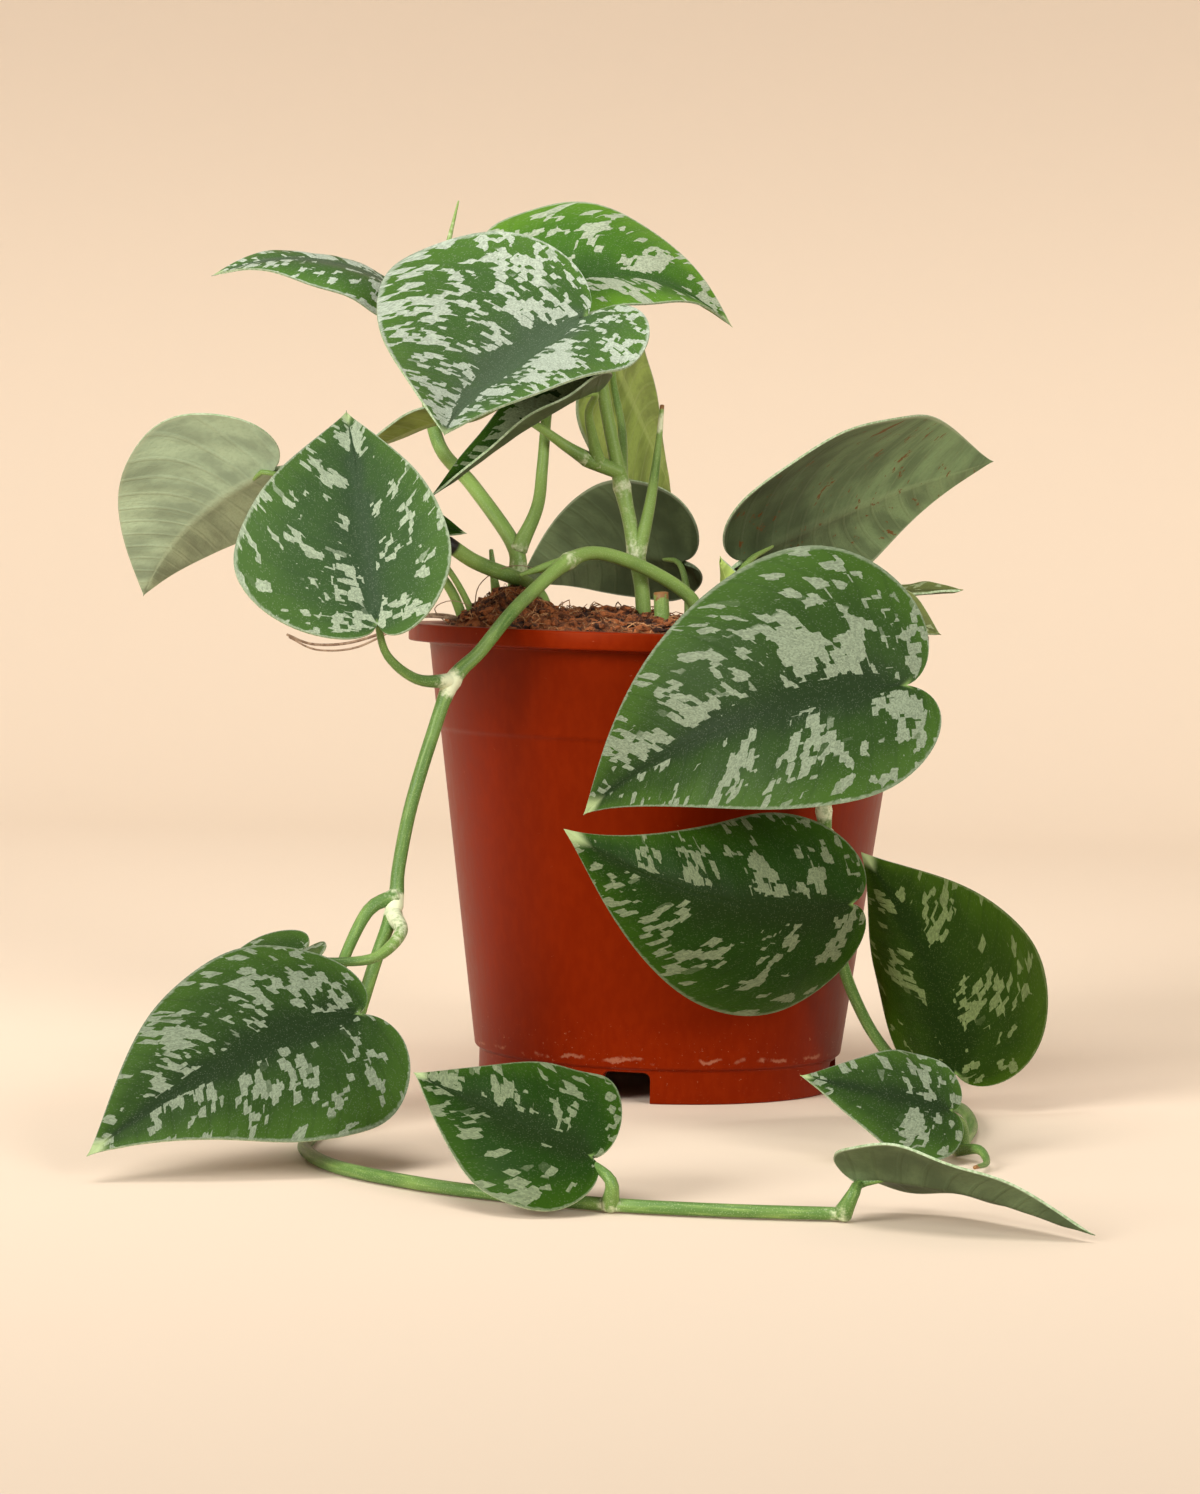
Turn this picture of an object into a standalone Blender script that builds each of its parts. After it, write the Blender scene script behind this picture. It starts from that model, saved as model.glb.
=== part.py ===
"""Satin pothos in a nursery pot, standing with its two trailing vines laid out on the surface.

Sizes in the tables are millimetres, measured from the middle of the pot's foot: +X to the right,
-Y towards the front, +Z up. Everything hangs on one empty, which stands on the pot's axis.
"""
import bmesh
import bpy
from math import cos, exp, pi, radians, sin
from mathutils import Matrix, Vector

millimetre = 0.001
gap = 0.3                        # air between two pieces that touch
weld_distance = 0.01
pot_axis = Vector((19.5, 74.9, 0.0))      # puts the middle of the whole footprint at the origin

# Pot: a 12 cm nursery pot, 105 mm high.
pot_facets = 44
pot_height = 105.0
rim_radius = 60.0
rim_depth = 4.0
rim_chamfer = 0.6
neck_radius = 55.1               # just under the rim
ledge_height = 79.0              # a small step runs round the wall here
ledge_radius = 52.4
wall_foot_radius = 42.4
foot_radius = 41.3
foot_width = 2.0
foot_height = 8.0
floor_thickness = 1.2
inner_floor_radius = 41.0
inner_mouth_radius = 54.2
notch_width = 11.0
notch_height = 7.0
notch_turn = -99.6               # degrees from +X: the front notch sits a little left of centre
drain_radius = 4.5
drain_ring = 28.0

# Soil: a mounded plug of coir that fills the pot.
soil_rings = 6
soil_edge_height = 103.2
soil_mound = 5.3
soil_mound_centre = (-15.0, -8.0)
soil_mound_spread = 32.0
soil_roughness = 0.5

# Leaves: a heart with a drawn-out tip, as two curves on each side of the midrib.
# Each point is (share of the length, share of the half width).
lobe_curve = [(0.0, 0.0), (-0.16, 0.12), (-0.06, 1.0), (0.22, 1.0)]
taper_curve = [(0.22, 1.0), (0.50, 1.0), (0.84, 0.16), (1.0, 0.0)]
lobe_share = 0.4                 # the part of the margin that goes round the lobe
blade_thickness = 0.9
margin_thickness = 0.7
midrib_height = 0.8
midrib_width = 2.4
waves_per_leaf = 2.0
right_wave_shift = 1.3

leaf_finish = ((0.060, 0.190, 0.050), 0.5)
stem_finish = ((0.200, 0.400, 0.120), 0.45)
pot_finish = ((0.480, 0.075, 0.025), 0.38)
soil_finish = ((0.120, 0.045, 0.022), 0.95)

# Stems: the route of each one, its radius at both ends, and the nodes where it swells.
stems = {
    "vine_left": dict(
        route=[(6, -5, 90), (7, -5, 104), (5, -7, 112), (-5, -14, 118.5), (-16, -21, 122),
               (-23, -28, 120), (-30.5, -40, 113), (-35, -50, 108), (-41, -56.5, 100),
               (-46.7, -59, 93.5), (-50.8, -62, 81), (-54.8, -64, 66), (-57, -65, 53),
               (-57.6, -67, 45), (-61, -76, 33), (-65, -88, 17), (-68, -100, 6), (-70, -114, 2.6),
               (-70, -134, 2.4), (-62, -156, 2.4), (-45, -174, 2.4), (-28, -185, 2.4),
               (-8, -193, 2.4), (14, -196, 2.4), (35, -196, 2.4)],
        radius=(2.0, 1.8),
        nodes=[(-23, -28, 120), (-46.7, -59, 93.5), (-57.6, -67, 45)],
        branches=[dict(route=[(-23, -28, 120), (-28, -29.5, 118.6), (-33.6, -30.5, 116.7)],
                       radius=(1.5, 0.4))]),
    "vine_right": dict(
        route=[(20, -26, 90), (20, -28, 103), (22, -38, 111), (27, -51, 110.5), (31, -59, 103),
               (34, -57, 88), (35, -52, 67), (39, -45, 38), (46, -37, 20), (55, -32, 8),
               (62, -33, 2.4), (66, -40, 2.2), (68, -50, 2.2), (68, -72, 2.2), (65, -94, 2.2),
               (62, -110, 2.2)],
        radius=(1.8, 1.5),
        nodes=[(31, -59, 103), (35, -52, 67)],
        branches=[dict(route=[(62, -110, 2.2), (66, -118, 3), (67, -126, 2.2), (64, -134, 1.7)],
                       radius=(1.3, 0.4))]),
    "stem_crown_left": dict(
        route=[(-36, -5, 90), (-36, -5, 108), (-35, -5, 117), (-36.5, -4, 124), (-46.5, 5, 137),
               (-54.5, 14, 145.5), (-58.3, 20, 157.6), (-61, 24, 169)],
        radius=(2.2, 1.7),
        nodes=[(-35, -5, 117)],
        branches=[dict(route=[(-60.5, 23.5, 167), (-56.5, 24, 180), (-54.5, 24, 192), (-53.5, 24, 204)],
                       radius=(1.3, 0.3))]),
    "stem_crown_right": dict(
        route=[(-5.5, -8, 90), (-6, -8, 110), (-8, -8, 122.5), (-11.6, -6, 137.3), (-15.2, -4, 152.6),
               (-17.3, -2, 163)],
        radius=(2.2, 1.7),
        nodes=[(-8, -8, 122.5), (-11.6, -6, 137.3)],
        branches=[dict(route=[(-7.5, -8.5, 121), (-5, -9, 134), (-3.6, -10, 146), (-2.9, -10, 156)],
                       radius=(1.7, 0.5)),
                  dict(route=[(-11.8, -6, 140.5), (-16.5, -6.5, 142.2), (-19.7, -7, 143.4)],
                       radius=(1.7, 1.9))]),
    "stub_pointed": dict(
        route=[(-39, -12, 92), (-39.5, -12, 110), (-40.2, -12, 116), (-41, -12, 122)],
        radius=(2.3, 0.5)),
    "stub_dark_end": dict(
        route=[(-27, -14, 92), (-27.7, -14, 106), (-30, -16, 112.5), (-34, -19, 115.5),
               (-40.6, -25, 118), (-45, -28, 120), (-50, -31, 123.4)],
        radius=(1.8, 1.7)),
    "stub_cut": dict(
        route=[(-1, -20, 92), (-1.5, -20, 106), (-2, -20, 113.5)],
        radius=(1.9, 1.7)),
}

# Leaves: base and tip of the midrib, the turn about it, the half widths on its left and right,
# then in degrees how the midrib arches and sweeps, how far the halves fold up and curl down.
leaves = {
    "leaf_crown_front": dict(
        base=(-21, -1, 176), tip=(-49, -73, 146), roll=-16, left=27, right=38,
        arch=-30, sweep=-39, fold=32, curl=30, wave=1, phase=0.3,
        grows_from="stem_crown_right", petiole=1.4,
        route=[(-17.3, -2, 163), (-18, 0, 170), (-20, 1, 175)]),
    "leaf_crown_back": dict(
        base=(-36, 18, 182), tip=(13, 38, 176.5), roll=37, left=29, right=17,
        arch=60, sweep=26, fold=25, curl=40, wave=1, phase=0.4,
        grows_from="stem_crown_left", petiole=1.5,
        route=[(-35, -5, 122.5), (-31, -5, 132), (-30, -6, 141), (-29.5, -3, 152),
               (-29, 10, 163), (-31, 22, 174), (-35, 22, 181)]),
    "leaf_upper_left": dict(
        base=(-66, 24, 179), tip=(-109, 14, 184), roll=-20, left=17, right=17,
        arch=75, sweep=10, fold=15, curl=60, wave=1, phase=0.6,
        grows_from="stem_crown_left", petiole=1.3,
        route=[(-61, 24, 169), (-62.5, 25, 174), (-66, 24.5, 179)]),
    "leaf_left_pale": dict(
        base=(-89, -32, 139), tip=(-122, 2, 109), roll=23, left=24, right=21,
        arch=5, sweep=39, fold=15, curl=11, wave=0.8, phase=0.9,
        grows_from="soil", petiole=1.3,
        route=[(-46, -12, 92), (-47, -13, 106), (-54, -17, 118), (-72, -27, 131), (-89, -32, 138)]),
    "leaf_left_heart": dict(
        base=(-62, -76, 106), tip=(-73, -34, 152), roll=-17, left=30, right=19,
        arch=18, sweep=-4, fold=28, curl=19, wave=0.8, phase=0,
        grows_from="vine_left", petiole=1.3,
        route=[(-46.7, -59, 93.5), (-54, -66, 94), (-60, -72, 99), (-62, -75.5, 105)]),
    "leaf_under_crown_left": dict(
        base=(-39, -6, 156), tip=(-76, -6, 141), roll=12, left=12, right=12,
        arch=20, sweep=0, fold=10, curl=10, wave=0.8, phase=0.1,
        grows_from="stem_crown_right", petiole=1.3,
        route=[(-19.7, -7, 143.4), (-25, -8.5, 146.5), (-31, -10.5, 150.5), (-38, -7, 155.5)]),
    "leaf_under_crown_front": dict(
        base=(-18, -21, 159), tip=(-54, -36, 133), roll=-10, left=13, right=13,
        arch=10, sweep=0, fold=25, curl=0, wave=0.8, phase=0.3,
        grows_from="stem_crown_right", petiole=1.3,
        route=[(-17, -6.5, 142.3), (-18.5, -9.5, 148), (-19.5, -14, 154), (-18.3, -20, 158.8)]),
    "leaf_back_tall": dict(
        base=(-16, 24, 169.5), tip=(0, 61, 136.5), roll=-87, left=20, right=19,
        arch=0, sweep=-2, fold=11, curl=6, wave=0.8, phase=0.3,
        grows_from="stem_crown_right", petiole=1.2,
        route=[(-11.6, -6, 137.3), (-12, 6, 150), (-14.5, 17, 162), (-16, 24, 168.5)]),
    "leaf_back_dark": dict(
        base=(3, 31, 120.5), tip=(-38, 62, 113), roll=61, left=20, right=13,
        arch=5, sweep=32, fold=16, curl=17, wave=0.6, phase=0.4,
        grows_from="soil", petiole=1.3,
        route=[(4.6, 25, 92), (4.6, 26, 106), (4, 28, 114), (3.2, 30.5, 120)]),
    "leaf_back_right": dict(
        base=(17, 9, 121.5), tip=(78, 53, 146.5), roll=-51, left=27, right=38,
        arch=0, sweep=-18, fold=10, curl=42, wave=1, phase=0.6,
        grows_from="soil", petiole=1.4,
        route=[(13, 2, 92), (13, 3, 106), (14, 5, 114), (17, 8.5, 121.5)]),
    "leaf_front_large": dict(
        base=(50, -87, 96), tip=(-17, -71, 66), roll=-74, left=24, right=34,
        arch=63, sweep=-16, fold=13, curl=24, wave=0.8, phase=0.7,
        grows_from="vine_right", petiole=1.5,
        route=[(31, -59, 103), (40, -68, 104), (48, -79, 102), (50, -86.5, 96.5)]),
    "leaf_front_lower": dict(
        base=(41, -65, 48), tip=(-21, -87, 64), roll=-91, left=29, right=22,
        arch=41, sweep=41, fold=-11, curl=34, wave=0.8, phase=0.9,
        grows_from="vine_right", petiole=1.4,
        route=[(35.4, -51, 62), (39, -58, 58), (42, -66, 53.5), (41, -65.3, 48.5)]),
    "leaf_front_hanging": dict(
        base=(66, -46, 9.5), tip=(43, -60, 59), roll=-133, left=20, right=28,
        arch=-1, sweep=-29, fold=-14, curl=51, wave=0.8, phase=0,
        grows_from="vine_right", petiole=1.3,
        route=[(61, -33, 2.8), (64, -36, 7.5), (65.5, -41, 10), (66, -45.5, 9.8)]),
    "leaf_floor_right": dict(
        base=(60, -116, 10.5), tip=(29, -122, 17.5), roll=-55, left=13, right=12,
        arch=20, sweep=10, fold=12, curl=30, wave=0.8, phase=0.1,
        grows_from="vine_right", petiole=1.2,
        route=[(63, -104, 2.2), (63, -110, 7), (60.2, -115.5, 10.5)]),
    "leaf_small_right_upper": dict(
        base=(52, -4, 114), tip=(71, -10, 114.5), roll=15, left=7, right=7,
        arch=10, sweep=0, fold=20, curl=20, wave=0.3, phase=0.3,
        grows_from="soil", petiole=1,
        route=[(40, -2, 92), (41, -2, 106), (45, -3, 111.5), (51, -4, 114)]),
    "leaf_small_right_lower": dict(
        base=(50, -16, 113), tip=(70, -22, 107.5), roll=45, left=5, right=5,
        arch=10, sweep=0, fold=20, curl=20, wave=0.3, phase=0.4,
        grows_from="soil", petiole=1,
        route=[(40, -16, 92), (41, -16, 105), (45, -16.5, 110.5), (49.5, -16, 113)]),
    "leaf_small_behind": dict(
        base=(15, -14, 109), tip=(11, -12, 122), roll=70, left=5, right=5,
        arch=20, sweep=0, fold=20, curl=20, wave=0.3, phase=0.4,
        grows_from="soil", petiole=1,
        route=[(17, -15, 92), (17, -15, 105), (15, -14, 109)]),
    "leaf_small_left": dict(
        base=(-64, -26, 129), tip=(-46, -26, 125.5), roll=50, left=6, right=6,
        arch=10, sweep=0, fold=10, curl=20, wave=0.3, phase=0.6,
        grows_from="soil", petiole=1,
        route=[(-43, -19, 92), (-44, -20, 106), (-52, -25, 120), (-63, -26.5, 128.5)]),
    "leaf_floor_edgewise": dict(
        base=(-76, -86, 36), tip=(-112, -108, 1.5), roll=-4, left=17, right=15,
        arch=20, sweep=-10, fold=20, curl=25, wave=0.8, phase=0,
        grows_from="vine_left", petiole=1.5,
        route=[(-57.8, -68, 43), (-55.5, -76, 40), (-60, -84, 35.5), (-68, -87, 34.5), (-75.5, -86, 36)]),
    "leaf_floor_large": dict(
        base=(-60, -136, 29), tip=(-108, -176, 5), roll=-40, left=26, right=25,
        arch=20, sweep=-15, fold=10, curl=30, wave=0.8, phase=0.7,
        grows_from="vine_left", petiole=1.3,
        route=[(-57.4, -66.6, 47), (-63, -69, 44), (-67.5, -77, 34), (-68, -92, 28),
               (-67, -112, 33), (-63, -128, 33), (-60.5, -135.5, 29.5)]),
    "leaf_floor_middle": dict(
        base=(-12, -191, 10), tip=(-46, -178, 23), roll=-32, left=18, right=22,
        arch=15, sweep=20, fold=10, curl=30, wave=0.8, phase=0.9,
        grows_from="vine_left", petiole=1.3,
        route=[(-8, -193, 2.4), (-8, -196, 6.5), (-11.5, -192, 10)]),
    "leaf_floor_front": dict(
        base=(38, -194, 8), tip=(80, -212, 1.2), roll=-25, left=14, right=14,
        arch=15, sweep=-10, fold=25, curl=30, wave=0.8, phase=0.6,
        grows_from="vine_left", petiole=1.3,
        route=[(35, -196, 2.4), (37, -198, 6), (38, -194.5, 7.8)]),
}


def bezier(points, t):
    """A point on a cubic curve given by four (x, y) points."""
    weights = ((1 - t) ** 3, 3 * (1 - t) ** 2 * t, 3 * (1 - t) * t * t, t ** 3)
    return tuple(sum(w * p[axis] for w, p in zip(weights, points)) for axis in (0, 1))


def half_outline(along):
    """The heart's margin, from the midrib's base (0) to its tip (1)."""
    if along < lobe_share:
        return bezier(lobe_curve, along / lobe_share)
    return bezier(taper_curve, (along - lobe_share) / (1 - lobe_share))


def arc(angle, share):
    """How far forward and how far off its chord an arc of the given angle is, for length 1."""
    angle = angle if abs(angle) > 1e-4 else 1e-4
    here = angle * (0.5 - share)
    return (sin(angle / 2) - sin(here)) / angle, (cos(here) - cos(angle / 2)) / angle


def leaf_axes(leaf):
    """Directions along the midrib, to the leaf's left and up from its face."""
    forward = (Vector(leaf["tip"]) - Vector(leaf["base"])).normalized()
    level = Vector((0, 0, 1)).cross(forward).normalized()
    upright = forward.cross(level)
    turn = radians(leaf["roll"])
    return forward, level * cos(turn) + upright * sin(turn), upright * cos(turn) - level * sin(turn)


def blade_point(leaf, along, across):
    """Middle surface of the blade and its normal: along 0 to 1, across -1 (right) to 1 (left)."""
    forward, left, up = leaf_axes(leaf)
    arch, sweep = radians(leaf["arch"]), radians(leaf["sweep"])
    base = Vector(leaf["base"])
    length = (Vector(leaf["tip"]) - base).length / arc(arch, 1.0)[0]
    half_width = leaf["left"] if across >= 0 else leaf["right"]
    margin_u, margin_v = half_outline(along)
    centre_u = along ** 1.6
    share = centre_u + (margin_u - centre_u) * abs(across)
    out = abs(across) * margin_v * half_width

    ahead, lift = arc(arch, share)
    aside = arc(sweep, share)[1]
    spine = base + length * (ahead * forward + aside * left + lift * up)
    pitch, yaw = arch * (0.5 - share), sweep * (0.5 - share)
    tangent = (cos(pitch) * cos(yaw) * forward + sin(yaw) * left + sin(pitch) * up).normalized()
    lateral = (left - left.dot(tangent) * tangent).normalized()
    normal = tangent.cross(lateral)

    fold, curl = radians(leaf["fold"]), radians(leaf["curl"]) / half_width
    curl = curl if abs(curl) > 1e-6 else 1e-6
    reach = (sin(fold) - sin(fold - curl * out)) / curl
    rise = (cos(fold - curl * out) - cos(fold)) / curl
    shift = 0.0 if across >= 0 else right_wave_shift
    ripple = sin(2 * pi * (waves_per_leaf * share + leaf["phase"]) + shift)
    rise += leaf["wave"] * (out / half_width) ** 2 * ripple
    side = 1 if across > 0 else -1 if across < 0 else 0
    slope = fold - curl * out if side else 0.0
    facing = cos(slope) * normal - side * sin(slope) * lateral
    return spine + side * reach * lateral + rise * normal, facing, out


def blade_grid(leaf):
    """How many rows and columns of faces a blade gets, by its length."""
    length = (Vector(leaf["tip"]) - Vector(leaf["base"])).length
    if length > 44:
        return 12, 8
    if length > 28:
        return 10, 6
    return 7, 4


def blade_mesh(name, leaf):
    """The blade as one closed solid, with the same triangles on both faces."""
    rows, columns = blade_grid(leaf)
    mesh = bmesh.new()
    top, bottom = [], []
    for row in range(rows + 1):
        along = row / rows
        tips = row in (0, rows)
        upper, lower = [], []
        for column in range(columns + 1):
            across = 2.0 * column / columns - 1.0
            if tips and column:
                upper.append(upper[0])
                lower.append(lower[0])
                continue
            point, facing, out = blade_point(leaf, along, 0.0 if tips else across)
            margin = 1.0 if tips else abs(across)
            half = (blade_thickness + (margin_thickness - blade_thickness) * margin) / 2
            midrib = midrib_height * exp(-(out / midrib_width) ** 2) * (1 - along)
            midrib = 0.0 if tips else midrib
            upper.append(mesh.verts.new((point + facing * half) * millimetre))
            lower.append(mesh.verts.new((point - facing * (half + midrib)) * millimetre))
        top.append(upper)
        bottom.append(lower)
    for row in range(rows):
        for column in range(columns):
            a, b = top[row][column], top[row][column + 1]
            c, d = top[row + 1][column + 1], top[row + 1][column]
            e, f = bottom[row][column], bottom[row][column + 1]
            g, h = bottom[row + 1][column + 1], bottom[row + 1][column]
            if row == 0:
                corners = [((a, c, d), (e, h, g))]
            elif row == rows - 1:
                corners = [((a, b, c), (e, g, f))]
            elif (column < columns / 2) == (row % 2 == 0):
                corners = [((a, b, c), (e, g, f)), ((a, c, d), (e, h, g))]
            else:
                corners = [((a, b, d), (e, h, f)), ((b, c, d), (f, h, g))]
            for pair in corners:
                for face in pair:
                    mesh.faces.new(face)
    for row in range(rows):
        for column in (0, columns):
            ring = [top[row][column], top[row + 1][column], bottom[row + 1][column], bottom[row][column]]
            mesh.faces.new(ring[:3])
            mesh.faces.new((ring[0], ring[2], ring[3]))
    bmesh.ops.recalc_face_normals(mesh, faces=mesh.faces)
    data = bpy.data.meshes.new(name)
    mesh.to_mesh(data)
    mesh.free()
    return data


def smooth_route(points, spacing):
    """A smooth curve through the points of a route, with a point about every spacing."""
    ends = [2 * points[0] - points[1]] + points + [2 * points[-1] - points[-2]]
    route = []
    for before, start, end, after in zip(ends, ends[1:], ends[2:], ends[3:]):
        steps = max(1, round((end - start).length / spacing))
        for step in range(steps):
            t = step / steps
            route.append(0.5 * (2 * start + (end - before) * t
                                + (2 * before - 5 * start + 4 * end - after) * t * t
                                + (3 * start - before - 3 * end + after) * t ** 3))
    return route + [points[-1]]


def tube(name, route, radius, grow=0.0, nodes=(), sides=8, spacing=6.0, swelling=0.5):
    """A closed tube along a route, tapering from one radius to the other and thicker at its nodes."""
    points = smooth_route([Vector(point) for point in route], spacing)
    points[0] += (points[0] - points[1]).normalized() * grow
    points[-1] += (points[-1] - points[-2]).normalized() * grow
    curve = bpy.data.curves.new(name, "CURVE")
    curve.dimensions = "3D"
    curve.bevel_depth = millimetre           # so a point's radius is in millimetres
    curve.bevel_resolution = (sides - 4) // 2
    curve.use_fill_caps = True
    spline = curve.splines.new("POLY")
    spline.points.add(len(points) - 1)
    for index, (spot, point) in enumerate(zip(spline.points, points)):
        share = index / (len(points) - 1)
        here = radius[0] + (radius[1] - radius[0]) * share
        for node in nodes:
            here += swelling * exp(-((point - Vector(node)).length / 4.0) ** 2)
        spot.co = (*(point * millimetre), 1.0)
        spot.radius = here + grow
    helper = bpy.data.objects.new(name, curve)
    mesh = bpy.data.meshes.new_from_object(helper)
    bpy.data.objects.remove(helper)
    weld(mesh)
    return mesh


def weld(data):
    """Merge the points that lie within a hair of each other, and split what is left into triangles."""
    mesh = bmesh.new()
    mesh.from_mesh(data)
    bmesh.ops.remove_doubles(mesh, verts=mesh.verts, dist=weld_distance * millimetre)
    bmesh.ops.dissolve_degenerate(mesh, edges=mesh.edges, dist=weld_distance * millimetre)
    bmesh.ops.triangulate(mesh, faces=mesh.faces)
    mesh.to_mesh(data)
    mesh.free()


def add_object(name, mesh):
    """Put a mesh in the scene as an object."""
    thing = bpy.data.objects.new(name, mesh)
    bpy.context.scene.collection.objects.link(thing)
    return thing


def combine(target, mesh, operation):
    """Join a mesh to an object or cut it away, and keep the result."""
    tool = add_object("tool", mesh)
    modifier = target.modifiers.new("combine", "BOOLEAN")
    modifier.operation = operation
    modifier.object = tool
    bpy.context.view_layer.update()
    evaluated = target.evaluated_get(bpy.context.evaluated_depsgraph_get())
    result = bpy.data.meshes.new_from_object(evaluated)
    target.modifiers.clear()
    weld(result)
    target.data = result
    bpy.data.objects.remove(tool)


def stem_tubes(name, grow=0.0):
    """The meshes of a stem and its branches, all thicker by grow."""
    stem = stems[name]
    yield tube(name, stem["route"], stem["radius"], grow, stem.get("nodes", ()))
    for branch in stem.get("branches", ()):
        yield tube(name, branch["route"], branch["radius"], grow, sides=6, spacing=4.0)


def make_stem(name):
    """One stem with its branches, as one body."""
    tubes = stem_tubes(name)
    stem = add_object(name, next(tubes))
    for branch in tubes:
        combine(stem, branch, "UNION")
    return stem


def petiole_tube(name, leaf, grow=0.0):
    """The leaf's stalk, which runs on under the midrib's foot."""
    reach = (Vector(leaf["tip"]) - Vector(leaf["base"])).length
    runs = []
    for along, depth in ((0.06, 0.55), (0.24, 0.25)):
        point, facing, _ = blade_point(leaf, along, 0.0)
        runs.append(point - facing * depth)
    thick = leaf["petiole"]
    thin = 0.45 * thick if reach > 28 else 0.6 * thick
    return tube(name, leaf["route"][:-1] + runs, (thick, thin), grow, sides=6, spacing=7.0)


def make_leaf(name, leaf):
    """A blade on its stalk, trimmed to stand just clear of the stem that it grows from."""
    blade = add_object(name, blade_mesh(name, leaf))
    combine(blade, petiole_tube(name, leaf), "UNION")
    if leaf["grows_from"] in stems:
        for part in stem_tubes(leaf["grows_from"], gap):
            combine(blade, part, "DIFFERENCE")
    return blade


def wall_inside(height):
    """Radius of the pot's inner wall at a height."""
    floor_top = foot_height + floor_thickness
    share = (height - floor_top) / (pot_height - 1.0 - floor_top)
    return inner_floor_radius + (inner_mouth_radius - inner_floor_radius) * share


def turned(name, profile):
    """A solid turned about Z from a profile of (radius, height) that starts and ends on the axis."""
    mesh = bmesh.new()
    verts = [mesh.verts.new((radius * millimetre, 0, height * millimetre)) for radius, height in profile]
    edges = [mesh.edges.new(pair) for pair in zip(verts, verts[1:])]
    bmesh.ops.spin(mesh, geom=verts + edges, cent=(0, 0, 0), axis=(0, 0, 1), angle=2 * pi,
                   steps=pot_facets, use_merge=True)
    bmesh.ops.remove_doubles(mesh, verts=mesh.verts, dist=0.00001)
    bmesh.ops.recalc_face_normals(mesh, faces=mesh.faces)
    data = bpy.data.meshes.new(name)
    mesh.to_mesh(data)
    mesh.free()
    return data


def foot_cutters():
    """The four notches in the foot ring and the drain holes in the floor."""
    mesh = bmesh.new()
    for quarter in range(4):
        turn = Matrix.Rotation(radians(notch_turn + 90 * quarter), 4, "Z")
        slot = Matrix.Translation((foot_radius * millimetre, 0, (notch_height / 2 - 1) * millimetre))
        size = Matrix.Diagonal((6 * millimetre, notch_width * millimetre, (notch_height + 2) * millimetre, 1))
        cube = bmesh.ops.create_cube(mesh, size=1.0, matrix=turn @ slot @ size)
        for vert in cube["verts"]:
            if vert.co.z < 0:                # the notch widens towards the surface
                flare = turn @ Vector((foot_radius * millimetre, 0, 0))
                vert.co.xy = flare.xy + (vert.co.xy - flare.xy) * 1.15
        spot = Matrix.Translation((drain_ring * millimetre, 0, foot_height * millimetre))
        add_drain(mesh, turn @ spot)
    add_drain(mesh, Matrix.Translation((0, 0, foot_height * millimetre)))
    data = bpy.data.meshes.new("foot_cutters")
    mesh.to_mesh(data)
    mesh.free()
    return data


def add_drain(mesh, matrix):
    """One drain hole's cutter."""
    bmesh.ops.create_cone(mesh, cap_ends=True, segments=12, radius1=drain_radius * millimetre,
                          radius2=drain_radius * millimetre, depth=6 * millimetre, matrix=matrix)


def make_pot():
    """The nursery pot: foot ring, floor, tapered wall with a ledge, neck and thick rim."""
    floor_top = foot_height + floor_thickness
    inside = foot_radius - foot_width
    profile = [(0, floor_top), (inner_floor_radius, floor_top), (inner_mouth_radius, pot_height - 1),
               (inner_mouth_radius + 0.8, pot_height), (rim_radius - rim_chamfer, pot_height),
               (rim_radius, pot_height - rim_chamfer), (rim_radius, pot_height - rim_depth + rim_chamfer),
               (rim_radius - rim_chamfer, pot_height - rim_depth),
               (neck_radius, pot_height - rim_depth - 0.4), (ledge_radius, ledge_height + 0.4),
               (ledge_radius - 0.6, ledge_height - 0.4), (wall_foot_radius, foot_height),
               (foot_radius, foot_height - 0.5), (foot_radius, 0), (inside, 0),
               (inside, foot_height - 0.5), (inside - 0.5, foot_height), (0, foot_height)]
    pot = add_object("pot", turned("pot", profile))
    combine(pot, foot_cutters(), "DIFFERENCE")
    return pot


def soil_height(x, y):
    """Top of the soil: mounded under the crown, lower round the wall, and lumpy."""
    away = ((x - soil_mound_centre[0]) ** 2 + (y - soil_mound_centre[1]) ** 2) / soil_mound_spread ** 2
    lumps = sin(0.31 * x + 0.8) * cos(0.27 * y) + 0.6 * sin(0.53 * y + 0.2 * x)
    return soil_edge_height + soil_mound * exp(-away) + soil_roughness * lumps


def make_soil():
    """The plug of soil, with a plain hole for every stem and stalk that stands in it."""
    floor_top = foot_height + floor_thickness + gap
    bottom_radius = wall_inside(floor_top) - 1.2 * gap
    top_radius = wall_inside(soil_edge_height) - 1.2 * gap
    profile = [(0, floor_top), (bottom_radius, floor_top)]
    for ring in range(soil_rings + 1):
        profile.append((top_radius * (1 - ring / soil_rings), soil_edge_height))
    soil = add_object("soil", turned("soil", profile))
    for vert in soil.data.vertices:
        x, y = vert.co.x / millimetre, vert.co.y / millimetre
        if vert.co.z > 0.5 * soil_edge_height * millimetre and (x * x + y * y) ** 0.5 < top_radius - 1:
            vert.co.z = soil_height(x, y) * millimetre
    for name, stem in stems.items():
        combine(soil, tube(name, stem["route"], stem["radius"], gap, stem.get("nodes", ())), "DIFFERENCE")
    for name, leaf in leaves.items():
        if leaf["grows_from"] == "soil":
            combine(soil, petiole_tube(name, leaf, gap), "DIFFERENCE")
    return soil


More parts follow.
